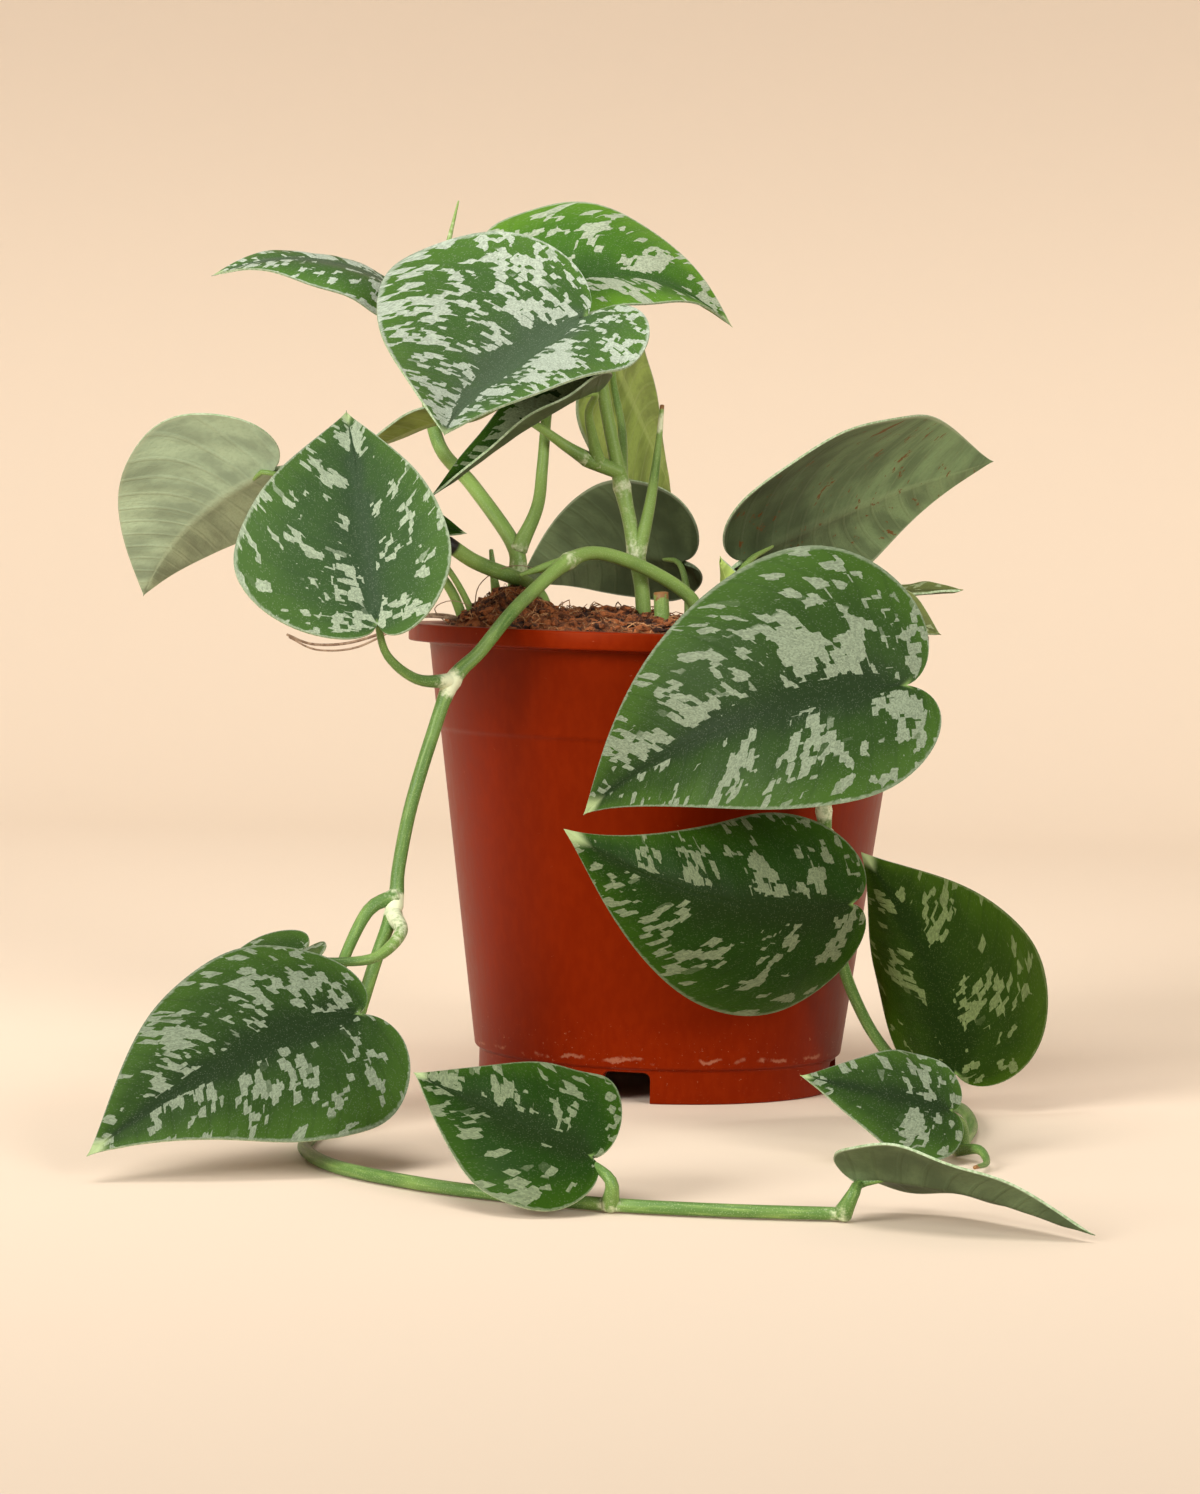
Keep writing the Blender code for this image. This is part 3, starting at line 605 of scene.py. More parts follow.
def coirEarth(name, dark, light, roughness=0.95):
    material, tree, shader = newMaterial(name, Roughness=roughness)
    here = fromPot(tree)
    lumps = noisy(here, 0.35, 6.0, 0.7)
    fibre = noisy(here, 1.4, 4.0, 0.7, 1.5)
    bits = channels(cellular(here, 0.6)["Color"])[0]
    tone = plus(times(lumps, 0.9), times(fibre, 0.5))
    tone = plus(tone, times(bits, 0.35))
    colour = mixed(ranged(tone, 0.66, 1.10), dark, light)
    finishShader(shader, colour, None, bumped(plus(lumps, fibre), 0.8, 0.0012))
    return material


finishes = dict(
    rim=leafRim(), stem=stemSkin(), pot=potPlastic(),
    soil=coirEarth("coirSoil", (0.030, 0.008, 0.003), (0.470, 0.140, 0.036)),
    fibre=coirEarth("coirFibre", (0.130, 0.036, 0.010), (0.680, 0.340, 0.140), 0.8),
    root=coirEarth("dryRoot", (0.270, 0.160, 0.090), (0.520, 0.360, 0.230), 0.7))
for paintName, paint in topPaints.items():
    finishes["top." + paintName] = leafTop(paintName, paint)
for paintName, paint in underPaints.items():
    finishes["under." + paintName] = leafUnder(paintName, paint)
print("finishes made:", len(finishes))


# Pot

potShape = dict(
    facets=160,
    profile=[(41.0, 9.2), (54.2, 104.0), (54.9, 105.0), (60.0, 105.0), (60.0, 101.0), (55.1, 100.6),
             (52.7, 81.5), (52.1, 80.6), (42.4, 8.0), (41.3, 7.4), (41.3, 0.0), (39.3, 0.0), (39.3, 7.5),
             (38.8, 8.0)],
    rounding=0.5, footRadius=41.3,
    notch=(6, 11.0, 7.0),                # depth, width and height
    notchCorner=1.6, notchTurn=-99.6,
    drainRadius=4.5, drainRing=28.0, drainHeight=8.6, drainDepth=6, drainFacets=32)


def rounded(profile, radius):            # each inner corner of a profile becomes a small arc
    smoothed = [Vector(profile[0])]
    for before, corner, after in zip(profile, profile[1:], profile[2:]):
        before, corner, after = Vector(before), Vector(corner), Vector(after)
        reach = min(radius, (corner - before).length * 0.45, (after - corner).length * 0.45)
        start = corner + (before - corner).normalized() * reach
        end = corner + (after - corner).normalized() * reach
        for t in (0.0, 0.33, 0.67, 1.0):
            smoothed.append(start * (1 - t) ** 2 + corner * 2 * t * (1 - t) + end * t * t)
    return smoothed + [Vector(profile[-1])]


def turnedPiece(name, profile, facets):  # a ring drawn up through the profile, then both ends filled
    deselectAll()
    start = profile[0]
    bpy.ops.mesh.primitive_circle_add(vertices=facets, radius=start[0] * mm,
                                      location=inPlace((0, 0, start[1])))
    piece = bpy.context.active_object
    piece.name = name
    piece.data.name = name
    bpy.ops.object.transform_apply(location=True, rotation=True, scale=True)
    bpy.ops.object.mode_set(mode="EDIT")
    bpy.ops.mesh.select_all(action="SELECT")
    bpy.ops.mesh.edge_face_add()
    bpy.ops.mesh.select_all(action="SELECT")
    for before, after in zip(profile, profile[1:]):
        bpy.ops.mesh.extrude_region_move(
            TRANSFORM_OT_translate={"value": (0, 0, (after[1] - before[1]) * mm)})
        grow = after[0] / before[0]
        bpy.ops.transform.resize(value=(grow, grow, 1), center_override=potFoot)
    bpy.ops.object.mode_set(mode="OBJECT")
    return piece


def cutAway(target, tool):
    modifier = target.modifiers.new("cut", "BOOLEAN")
    modifier.operation = "DIFFERENCE"
    modifier.solver = "EXACT"
    modifier.object = tool
    applyAll(target)
    bpy.data.objects.remove(tool, do_unlink=True)


def makePot():
    pot = turnedPiece("nursery_pot", rounded(potShape["profile"], potShape["rounding"]), potShape["facets"])
    outwards(pot)
    turns = [radians(potShape["notchTurn"] + 90 * quarter) for quarter in range(4)]
    depth, width, height = potShape["notch"]
    for turn in turns:
        spot = Vector((cos(turn), sin(turn), 0)) * potShape["footRadius"]
        deselectAll()
        bpy.ops.mesh.primitive_cube_add(size=1, location=inPlace(spot + Vector((0, 0, -1.0))))
        notch = bpy.context.active_object
        notch.scale = (depth * mm, width * mm, 2 * (height + 1.0) * mm)
        notch.rotation_euler = (0, 0, turn)
        bpy.ops.object.transform_apply(location=True, rotation=True, scale=True)
        bevel = notch.modifiers.new("soft", "BEVEL")
        bevel.width = potShape["notchCorner"] * mm
        bevel.segments = 3
        applyAll(notch)
        cutAway(pot, notch)
    for ring, turn in [(0.0, 0.0)] + [(potShape["drainRing"], turn) for turn in turns]:
        spot = Vector((ring * cos(turn), ring * sin(turn), potShape["drainHeight"]))
        deselectAll()
        bpy.ops.mesh.primitive_cylinder_add(
            vertices=potShape["drainFacets"], radius=potShape["drainRadius"] * mm,
            depth=potShape["drainDepth"] * mm, location=inPlace(spot))
        drain = bpy.context.active_object
        bpy.ops.object.transform_apply(location=True, rotation=True, scale=True)
        cutAway(pot, drain)
    closeSeams(pot)
    smooth(pot, 35)
    dress(pot, "pot")
    addTo(pot, "terracotta_plastic", "pot")


makePot()
print("pot turned and notched")


# Soil: a lumpy plug, crumbs on top and fibres through them

soilShape = dict(
    bottomRadius=40.6, topRadius=53.6, bottom=9.5, edgeHeight=103.2, edgeDrop=1.5, lumpHeight=1.3,
    mound=5.3, moundCentre=(-15.0, -8.0), moundSpread=32.0,
    heap=(-37.0, -21.0, 6.5, 8.5),       # a heap of husk left of the stems: x, y, height, spread
    floorShare=0.12, wallShare=0.08,     # shares of the plug's rows: under it, and up its side
    seed=11, strewn=51.0,
    crumbs=1300, crumbSize=(0.4, 1.7), crumbLimit=51.5, crumbHeap=(5, 5.0),    # every fifth on the heap
    fibres=900, fibreLength=(2.5, 9.0), fibreTurn=1.6, fibreLift=(-0.4, 1.8), fibreRadius=(0.07, 0.17),
    fibreLimit=52.3, fibreHeap=(4, 6.0), fibreSteps=5)


def soilTop(x, y):
    centre = soilShape["moundCentre"]
    away = ((x - centre[0]) ** 2 + (y - centre[1]) ** 2) / soilShape["moundSpread"] ** 2
    rough = noise.fractal(Vector((x, y, 3.0)) * 0.22, 0.8, 2.2, 4) * soilShape["lumpHeight"]
    heapX, heapY, heapHeight, spread = soilShape["heap"]
    heap = heapHeight * exp(-((x - heapX) ** 2 + (y - heapY) ** 2) / spread ** 2)
    return soilShape["edgeHeight"] + soilShape["mound"] * exp(-away) + heap + rough


def makePlug():
    low, high = soilShape["bottomRadius"], soilShape["topRadius"]
    bottom, rise = soilShape["bottom"], soilShape["edgeHeight"] - 2 - soilShape["bottom"]
    split, wall = soilShape["floorShare"], soilShape["wallShare"]

    def shape(u, v):
        turn = 2 * pi * u
        t = (v - split) / (1 - split)
        if v < split:
            radius, height = low * v / split, bottom
        elif t < wall:
            radius, height = low + (high - low) * t / wall, bottom + rise * t / wall
        else:
            radius = high * (1 - (t - wall) / (1 - wall))
            height = soilTop(radius * cos(turn), radius * sin(turn))
            height -= soilShape["edgeDrop"] * smoothStep(radius, high - 3, high)
        return (radius * cos(turn), radius * sin(turn), height), {}

    soil = gridPiece("coir_soil", 120, 100, shape)
    closeSeams(soil)
    outwards(soil)
    smooth(soil, 60)
    dress(soil, "soil")
    addTo(soil, "coir_soil", "soil")


def meshPiece(name, points, faces):
    mesh = bpy.data.meshes.new(name)
    mesh.from_pydata([tuple(point) for point in points], [], faces)
    mesh.update()
    piece = bpy.data.objects.new(name, mesh)
    bpy.context.scene.collection.objects.link(piece)
    outwards(piece)
    return piece


def soilSpot(pick, index, share):        # somewhere on the soil, and every few times on the heap
    radius, turn = soilShape["strewn"] * sqrt(pick.random()), pick.uniform(0, 2 * pi)
    every, spread = share
    if index % every == 0:
        heapX, heapY = soilShape["heap"][:2]
        return heapX + pick.gauss(0, spread), heapY + pick.gauss(0, spread)
    return radius * cos(turn), radius * sin(turn)


def makeCrumbs(pick):
    deselectAll()
    bpy.ops.mesh.primitive_ico_sphere_add(subdivisions=1, radius=1)
    seedCrumb = bpy.context.active_object
    corners = [vert.co.copy() for vert in seedCrumb.data.vertices]
    sides = [tuple(face.vertices) for face in seedCrumb.data.polygons]
    bpy.data.objects.remove(seedCrumb, do_unlink=True)
    points, faces = [], []
    for index in range(soilShape["crumbs"]):
        x, y = soilSpot(pick, index, soilShape["crumbHeap"])
        if x * x + y * y > soilShape["crumbLimit"] ** 2:
            continue
        size = pick.uniform(*soilShape["crumbSize"])
        turned = Matrix.Rotation(pick.uniform(0, pi), 3, "Z") @ Matrix.Rotation(pick.uniform(0, pi), 3, "X")
        longest, flattest = size * pick.uniform(0.9, 2.2), size * pick.uniform(0.4, 0.9)
        stretch = turned @ Matrix.Diagonal((longest, size * 0.8, flattest))
        centre = Vector((x, y, soilTop(x, y) + size * 0.2))
        start = len(points)
        for corner in corners:
            wobble = 1 + 0.35 * noise.noise(corner * 2.1 + Vector((index, 0, 0)))
            points.append(inPlace(centre + stretch @ corner * wobble))
        faces += [tuple(start + i for i in side) for side in sides]
    crumbs = meshPiece("soil_crumbs", points, faces)
    dress(crumbs, "soil")
    addTo(crumbs, "coir_soil")


def addStrand(points, faces, route, thick, sides=3):     # one closed three-sided thread
    start = len(points)
    last = len(route) - 1
    for index, point in enumerate(route):
        tangent = (route[min(index + 1, last)] - route[max(index - 1, 0)]).normalized()
        side = tangent.orthogonal().normalized()
        other = tangent.cross(side)
        here = thick * (0.45 if index in (0, last) else 1.0)
        for corner in range(sides):
            angle = 2 * pi * corner / sides
            points.append(inPlace(point + (side * cos(angle) + other * sin(angle)) * here))
    for index in range(last):
        for corner in range(sides):
            a, b = start + index * sides + corner, start + index * sides + (corner + 1) % sides
            faces.append((a, b, b + sides, a + sides))
    faces.append(tuple(reversed(range(start, start + sides))))
    faces.append(tuple(range(start + last * sides, start + (last + 1) * sides)))


def makeFibres(pick):
    points, faces = [], []
    steps, limit = soilShape["fibreSteps"], soilShape["fibreLimit"]
    for index in range(soilShape["fibres"]):
        x, y = soilSpot(pick, index, soilShape["fibreHeap"])
        heading = pick.uniform(0, 2 * pi)
        bend = pick.uniform(-soilShape["fibreTurn"], soilShape["fibreTurn"])
        length = pick.uniform(*soilShape["fibreLength"])
        lift = pick.uniform(*soilShape["fibreLift"])
        thick = pick.uniform(*soilShape["fibreRadius"])
        route = []
        for t in [step / steps for step in range(steps + 1)]:
            angle = heading + bend * t
            px = x + cos(angle) * length * (t - 0.5)
            py = y + sin(angle) * length * (t - 0.5)
            reach = sqrt(px * px + py * py)
            if reach > limit:
                px, py = px * limit / reach, py * limit / reach
            route.append(Vector((px, py, soilTop(px, py) + 0.3 + lift * 4 * t * (1 - t))))
        addStrand(points, faces, route, thick)
    fibres = meshPiece("soil_fibres", points, faces)
    dress(fibres, "fibre")
    addTo(fibres, "coir_soil")


makePlug()
soilPick = random.Random(soilShape["seed"])
makeCrumbs(soilPick)
makeFibres(soilPick)
print("soil heaped")


# Stems, as in the solids; marks colour them: (point, reach, (pale, brown, dark))

stems = {
    "vine_left": dict(
        route=[(6, -5, 90), (7, -5, 104), (5, -7, 112), (-5, -14, 118.5), (-16, -21, 122),
               (-23, -28, 120), (-30.5, -40, 113), (-35, -50, 108), (-41, -56.5, 100),
               (-46.7, -59, 93.5), (-50.8, -62, 81), (-54.8, -64, 66), (-57, -65, 53),
               (-57.6, -67, 45), (-61, -76, 33), (-65, -88, 17), (-68, -100, 5), (-70, -114, 1.65),
               (-70, -134, 1.55), (-62, -156, 1.55), (-45, -174, 1.55), (-28, -185, 1.55),
               (-8, -193, 1.55), (14, -196, 1.55), (35, -196, 1.55)],
        radius=(1.6, 1.25),
        nodes=[(-23, -28, 120), (-46.7, -59, 93.5), (-57.6, -67, 45)],
        marks=[((-23, -28, 120), 3.2, (0.5, 0, 0)), ((-22.0, -28.4, 117.8), 1.2, (0, 0.8, 0)),
               ((-47.2, -59.5, 93.0), 3.2, (1, 0, 0)), ((-45.6, -60.6, 91.6), 1.5, (0, 0.9, 0)),
               ((-57.6, -67, 45), 3.6, (1, 0, 0)), ((-58.2, -68, 48.5), 1.7, (0, 0.9, 0)),
               ((35, -196, 2.4), 3.5, (0.6, 0.2, 0)), ((-8, -193, 2.4), 3.0, (0.7, 0.2, 0))],
        branches=[dict(route=[(-23, -28, 120), (-28, -29.5, 118.6), (-33.6, -30.5, 116.7)],
                       radius=(1.5, 0.4))]),
    "vine_right": dict(
        route=[(20, -26, 90), (20, -28, 103), (22, -38, 111), (27, -51, 110.5), (31, -59, 103),
               (34, -57, 88), (35, -52, 67), (39, -45, 38), (46, -37, 20), (55, -32, 8),
               (62, -33, 1.8), (66, -40, 1.55), (68, -50, 1.55), (68, -72, 1.55), (65, -94, 1.55),
               (62, -110, 1.55)],
        radius=(1.45, 1.2),
        nodes=[(31, -59, 103), (35, -52, 67)],
        marks=[((31, -59, 103), 3.0, (0.6, 0.1, 0)), ((35, -52, 67), 3.2, (0.7, 0.3, 0)),
               ((62, -110, 2.2), 2.5, (0.6, 0.2, 0)), ((64, -134, 1.7), 2.5, (0, 0.8, 0))],
        branches=[dict(route=[(62, -110, 1.55), (66, -118, 3), (67, -126, 1.55), (64, -134, 1.7)],
                       radius=(1.3, 0.4))]),
    "stem_crown_left": dict(
        route=[(-36, -5, 90), (-36, -5, 108), (-35, -5, 117), (-36.5, -4, 124), (-46.5, 5, 137),
               (-54.5, 14, 145.5), (-58.3, 20, 157.6), (-61, 24, 169)],
        radius=(1.95, 1.5),
        nodes=[(-35, -5, 117)],
        marks=[((-35, -5, 117), 3.5, (0.6, 0.2, 0)), ((-54.5, 24, 190), 14.0, (0.55, 0, 0))],
        branches=[dict(route=[(-60.5, 23.5, 167), (-57.2, 24, 180), (-54.9, 24, 192), (-52.3, 24, 204)],
                       radius=(1.75, 0.2))]),
    "stem_crown_right": dict(
        route=[(-5.5, -8, 90), (-6, -8, 110), (-8, -8, 122.5), (-11.6, -6, 137.3), (-15.2, -4, 152.6),
               (-17.3, -2, 163)],
        radius=(1.9, 1.45),
        nodes=[(-8, -8, 122.5), (-11.6, -6, 137.3)],
        marks=[((-8, -8, 122.5), 2.6, (0.45, 0.1, 0)), ((-11.6, -6, 137.3), 2.0, (0.45, 0, 0)),
               # two broad pale patches between the nodes: pale freckled skin together with painted light
               # where the stem is lit
               ((-9.8, -7, 130), 8.0, (0.30, 0, 0)), ((-14, -5, 148), 9.0, (0.20, 0, 0)),
               ((-2.9, -10, 156), 1.6, (0.3, 0.8, 0)), ((-3.1, -10, 152.0), 2.4, (0.8, 0, 0))],
        branches=[dict(route=[(-7.5, -8.5, 121), (-5, -9, 134), (-3.6, -10, 146), (-2.9, -10, 156)],
                       radius=(1.7, 0.5)),
                  dict(route=[(-11.8, -6, 140.5), (-16.5, -6.5, 142.2), (-19.7, -7, 143.4)],
                       radius=(1.7, 1.9))]),
    "stub_pointed": dict(
        route=[(-39, -12, 92), (-39.5, -12, 110), (-40.2, -12, 116), (-41, -12, 122)],
        radius=(2.3, 0.5), marks=[((-41, -12, 122), 3.0, (0.3, 0.4, 0))]),
    "stub_dark_end": dict(
        route=[(-27, -14, 92), (-27.7, -14, 106), (-30, -16, 112.5), (-34, -19, 115.5),
               (-40.6, -25, 118), (-45, -28, 120), (-50, -31, 123.4)],
        radius=(1.8, 1.7), marks=[((-50, -31, 123.4), 2.6, (0, 0, 1))]),
    "stub_cut": dict(
        route=[(-1, -20, 92), (-1.5, -20, 106), (-2, -20, 113.5)],
        radius=(1.9, 1.7), blunt=0.15,
        marks=[((-2, -20, 113.5), 1.8, (0.4, 0.8, 0)), ((-1.5, -20, 106), 6.0, (0.3, 0.1, 0))]),
}


def makeStem(name, stem):
    skin = tubePiece(name + "_skin", stem["route"], stem["radius"], nodes=stem.get("nodes", ()),
                     marks=stem["marks"], sides=20, blunt=stem.get("blunt", 0.6))
    branches = [tubePiece("branch", branch["route"], branch["radius"], marks=stem["marks"])
                for branch in stem.get("branches", ())]
    joinInto(skin, branches)
    dress(skin, "stem")
    addTo(skin, "green_stem", name)


for stemName, stem in stems.items():
    makeStem(stemName, stem)
print("stems drawn:", len(stems))


# Leaves: top and under name a paint, offset is where on the pattern the blade is cut, cover is
# more or less silver, and foot is the mark where the stalk starts

leafUsual = dict(wave=0.8, petiole=1.3, under="grey", foot=(3.0, (0.5, 0.1, 0)))
leaves = {
    "leaf_crown_front": dict(
        base=(-21, -1, 176), tip=(-49, -73, 146), roll=-16, left=27, right=38,
        arch=-30, sweep=-39, fold=32, curl=30, wave=1, phase=0.3,
        petiole=1.4, top="bright", under="sage", offset=1.0, cover=0.042,
        route=[(-17.3, -2, 163), (-18, 0, 170), (-20, 1, 175)]),
    "leaf_crown_back": dict(
        base=(-36, 18, 182), tip=(13, 38, 176.5), roll=37, left=29, right=17,
        arch=60, sweep=26, fold=25, curl=40, wave=1, phase=0.4,
        petiole=1.5, top="fresh", under="olive", offset=5.9, cover=0.002,
        route=[(-35, -5, 122.5), (-31, -5, 132), (-30, -6, 141), (-29.5, -3, 152),
               (-29, 10, 163), (-31, 22, 174), (-35, 22, 181)]),
    "leaf_upper_left": dict(
        base=(-66, 24, 182), tip=(-109, 14, 184), roll=-20, left=16, right=16,
        arch=60, sweep=10, fold=15, curl=60, wave=1, phase=0.6,
        top="bright", offset=12.1, cover=0.05,
        route=[(-61, 24, 169), (-62.5, 25, 176), (-66, 24.5, 182)]),
    "leaf_left_pale": dict(
        base=(-89, -32, 139), tip=(-122, 2, 109), roll=23, left=24, right=21,
        arch=5, sweep=39, fold=15, curl=11, phase=0.9,
        top="mid", under="sage", offset=17.9, cover=-0.01,
        route=[(-46, -12, 92), (-47, -13, 106), (-54, -17, 118), (-72, -27, 131), (-89, -32, 138)]),
    "leaf_left_heart": dict(
        base=(-62, -76, 106), tip=(-73, -34, 152), roll=-17, left=30, right=19,
        arch=18, sweep=-4, fold=28, curl=19, phase=0,
        top="soft", offset=23.5, cover=-0.022, foot=(5.0, (1.0, 0.0, 0)),
        route=[(-46.7, -59, 93.5), (-54, -66, 94), (-60, -72, 99), (-62, -75.5, 105)]),
    "leaf_under_crown_left": dict(
        base=(-39, -6, 156), tip=(-76, -6, 141), roll=12, left=12, right=12,
        arch=20, sweep=0, fold=10, curl=10, phase=0.1,
        top="deep", under="olive", offset=29.2, cover=-0.02,
        route=[(-19.7, -7, 143.4), (-25, -8.5, 146.5), (-31, -10.5, 150.5), (-38, -7, 155.5)]),
    "leaf_under_crown_front": dict(
        base=(-18, -21, 159), tip=(-54, -36, 133), roll=-10, left=12, right=10,
        arch=10, sweep=0, fold=30, curl=0, phase=0.3,
        top="deep", offset=31.4, cover=-0.01,
        route=[(-17, -6.5, 142.3), (-18.5, -9.5, 148), (-19.5, -14, 154), (-18.3, -20, 158.8)]),
    "leaf_back_tall": dict(
        base=(-16, 24, 169.5), tip=(0, 61, 136.5), roll=-87, left=20, right=19,
        arch=0, sweep=-2, fold=11, curl=6, phase=0.3,
        petiole=1.2, top="mid", under="olive", offset=36.0, cover=-0.01,
        route=[(-11.6, -6, 137.3), (-12, 6, 150), (-14.5, 17, 162), (-16, 24, 168.5)]),
    "leaf_back_dark": dict(
        base=(3, 31, 120.5), tip=(-38, 62, 113), roll=61, left=20, right=13,
        arch=5, sweep=32, fold=16, curl=17, wave=0.6, phase=0.4,
        top="deep", offset=41.7, cover=-0.02,
        route=[(4.6, 25, 92), (4.6, 26, 106), (4, 28, 114), (3.2, 30.5, 120)]),
    "leaf_back_right": dict(
        base=(17, 9, 121.5), tip=(78, 53, 146.5), roll=-51, left=27, right=38,
        arch=0, sweep=-18, fold=10, curl=42, wave=1, phase=0.6,
        petiole=1.4, top="deep", under="rusty", offset=47.3, cover=-0.02,
        route=[(13, 2, 92), (13, 3, 106), (14, 5, 114), (17, 8.5, 121.5)]),
    "leaf_front_large": dict(
        base=(50, -87, 96), tip=(-17, -71, 66), roll=-74, left=24, right=34,
        arch=63, sweep=-16, fold=13, curl=24, phase=0.7,
        petiole=1.5, top="mid", offset=53.1, cover=0.012,
        route=[(31, -59, 103), (40, -68, 104), (48, -79, 102), (50, -86.5, 96.5)]),
    "leaf_front_lower": dict(
        base=(41, -65, 48), tip=(-21, -87, 64), roll=-91, left=29, right=22,
        arch=41, sweep=41, fold=-11, curl=34, phase=0.9,
        petiole=1.4, top="deep", offset=59.8, cover=-0.012,
        route=[(35.4, -51, 62), (38, -54, 57), (40, -58, 52), (40.6, -62, 49)]),
    "leaf_front_hanging": dict(
        base=(66, -46, 9.5), tip=(43, -60, 59), roll=-133, left=20, right=28,
        arch=-1, sweep=-29, fold=-14, curl=51, phase=0,
        top="shaded", offset=64.2, cover=-0.052,
        route=[(61, -33, 2.8), (64, -36, 7.5), (65.5, -41, 10), (66, -45.5, 9.8)]),
    "leaf_floor_right": dict(
        base=(60, -116, 10.5), tip=(29, -122, 17.5), roll=-55, left=13, right=12,
        arch=20, sweep=10, fold=12, curl=30, phase=0.1,
        petiole=1.2, top="mid", under="olive", offset=71.5, cover=-0.01,
        route=[(63.6, -104, 1.45), (63, -110, 7), (60.2, -115.5, 10.5)]),
    "leaf_small_right_upper": dict(
        base=(50, -4, 113.5), tip=(67, -10, 115.5), roll=15, left=6, right=6,
        arch=10, sweep=0, fold=20, curl=20, wave=0.3, phase=0.3,
        petiole=1, top="dull", under="brown", offset=77.7, cover=-0.1,
        route=[(40, -2, 92), (41, -2, 106), (44, -3, 111.5), (49.5, -4, 113.5)]),
    "leaf_small_right_lower": dict(
        base=(48, -16, 111.5), tip=(61.5, -21, 105.5), roll=62, left=6, right=5.5,
        arch=10, sweep=0, fold=20, curl=20, wave=0.3, phase=0.4,
        petiole=1, top="dull", under="brown", offset=81.2, cover=-0.1,
        route=[(40, -16, 92), (41, -16, 105), (43.5, -16.5, 110), (47.5, -16, 111.5)]),
    "leaf_small_behind": dict(
        base=(15, -14, 109), tip=(11, -12, 122), roll=70, left=5, right=5,
        arch=20, sweep=0, fold=20, curl=20, wave=0.3, phase=0.4,
        petiole=1, top="mid", under="olive", offset=84.4, cover=-0.02,
        route=[(17, -15, 92), (17, -15, 105), (15, -14, 109)]),
    "leaf_small_left": dict(
        base=(-64, -26, 129), tip=(-46, -26, 125.5), roll=50, left=6, right=6,
        arch=10, sweep=0, fold=10, curl=20, wave=0.3, phase=0.6,
        petiole=1, top="deep", offset=88.8, cover=-0.02,
        route=[(-43, -19, 92), (-44, -20, 106), (-52, -25, 120), (-63, -26.5, 128.5)]),
    "leaf_floor_edgewise": dict(
        base=(-76, -86, 36), tip=(-112, -108, 1.5), roll=-4, left=17, right=15,
        arch=20, sweep=-10, fold=20, curl=25, phase=0,
        petiole=1.5, top="mid", offset=92.6, cover=0.0, foot=(17.0, (0.68, 0.0, 0)),
        route=[(-57.8, -68, 43), (-55.5, -76, 40), (-60, -84, 35.5), (-68, -87, 34.5), (-75.5, -86, 36)]),
    "leaf_floor_large": dict(
        base=(-60, -136, 29), tip=(-108, -176, 5), roll=-40, left=26, right=25,
        arch=20, sweep=-15, fold=10, curl=30, phase=0.7,
        top="mid", offset=97.4, cover=-0.018,
        route=[(-57.4, -66.6, 47), (-63, -69, 44), (-67.5, -77, 34), (-68, -92, 28),
               (-67, -112, 33), (-63, -128, 33), (-60.5, -135.5, 29.5)]),
    "leaf_floor_middle": dict(
        base=(-12, -191, 10), tip=(-46, -178, 23), roll=-32, left=18, right=22,
        arch=15, sweep=20, fold=10, curl=30, phase=0.9,
        top="deep", offset=103.3, cover=0.01,
        route=[(-8, -193, 1.5), (-8, -196, 6.5), (-11.5, -192, 10)]),
    "leaf_floor_front": dict(
        base=(38, -194, 8), tip=(80, -212, 1.2), roll=-25, left=14, right=14,
        arch=15, sweep=-10, fold=25, curl=30, phase=0.6,
        top="mid", offset=108.9, cover=-0.01,
        route=[(35, -196, 1.5), (37, -198, 6), (38, -194.5, 7.8)]),
}


def makeBlade(name, leaf):
    reach = (Vector(leaf["tip"]) - Vector(leaf["base"])).length
    rows, columns = (72, 48) if reach > leafForm["largeFrom"] else (32, 20)
    half = leafForm["thickness"] / 2
    offset, cover = leaf["offset"], leaf["cover"]
    outs = []

    def shape(u, v):
        across = 1 - 2 * u
        atEnd = v < 1e-6 or v > 1 - 1e-6
        across = 0.0 if abs(across) < 1e-6 or atEnd else across
        point, facing, out, vein = bladePoint(leaf, v, across)
        margin = 1.0 if atEnd else abs(across)
        outs.append((abs(out), v, margin, facing))
        return point + facing * half, dict(veins=(out / 10 + offset, vein / 10 + offset * 0.37),
                                           place=(margin, v, 0.5 + cover, 1.0))

    blade = gridPiece(name + "_blade", columns, rows, shape, (("veins", 2), ("place", 4)))
    dress(blade, "top." + leaf["top"], "under." + leaf["under"], "rim")
    solidify = blade.modifiers.new("thick", "SOLIDIFY")
    solidify.thickness = leafForm["thickness"] * mm
    solidify.offset = -1
    solidify.material_offset = 1
    solidify.material_offset_rim = 2
    applyAll(blade)
    atTip, atMargin = leafForm["thinning"]
    count = len(outs)                    # the under side's points follow the top's, in the same order
    for index, (out, along, margin, facing) in enumerate(outs):
        rib = leafForm["ribHeight"] * exp(-(out / leafForm["ribWidth"]) ** 2) * (1 - along) ** 0.8
        top, under = blade.data.vertices[index], blade.data.vertices[count + index]
        thinner = (atTip + (1 - atTip) * smoothStep(1 - along, 0.0, 0.10)) * (1 - atMargin * margin ** 4)
        under.co = top.co + (under.co - top.co) * thinner - facing * rib * mm
    closeSeams(blade, 0.000006)
    smooth(blade, 50)
    return blade


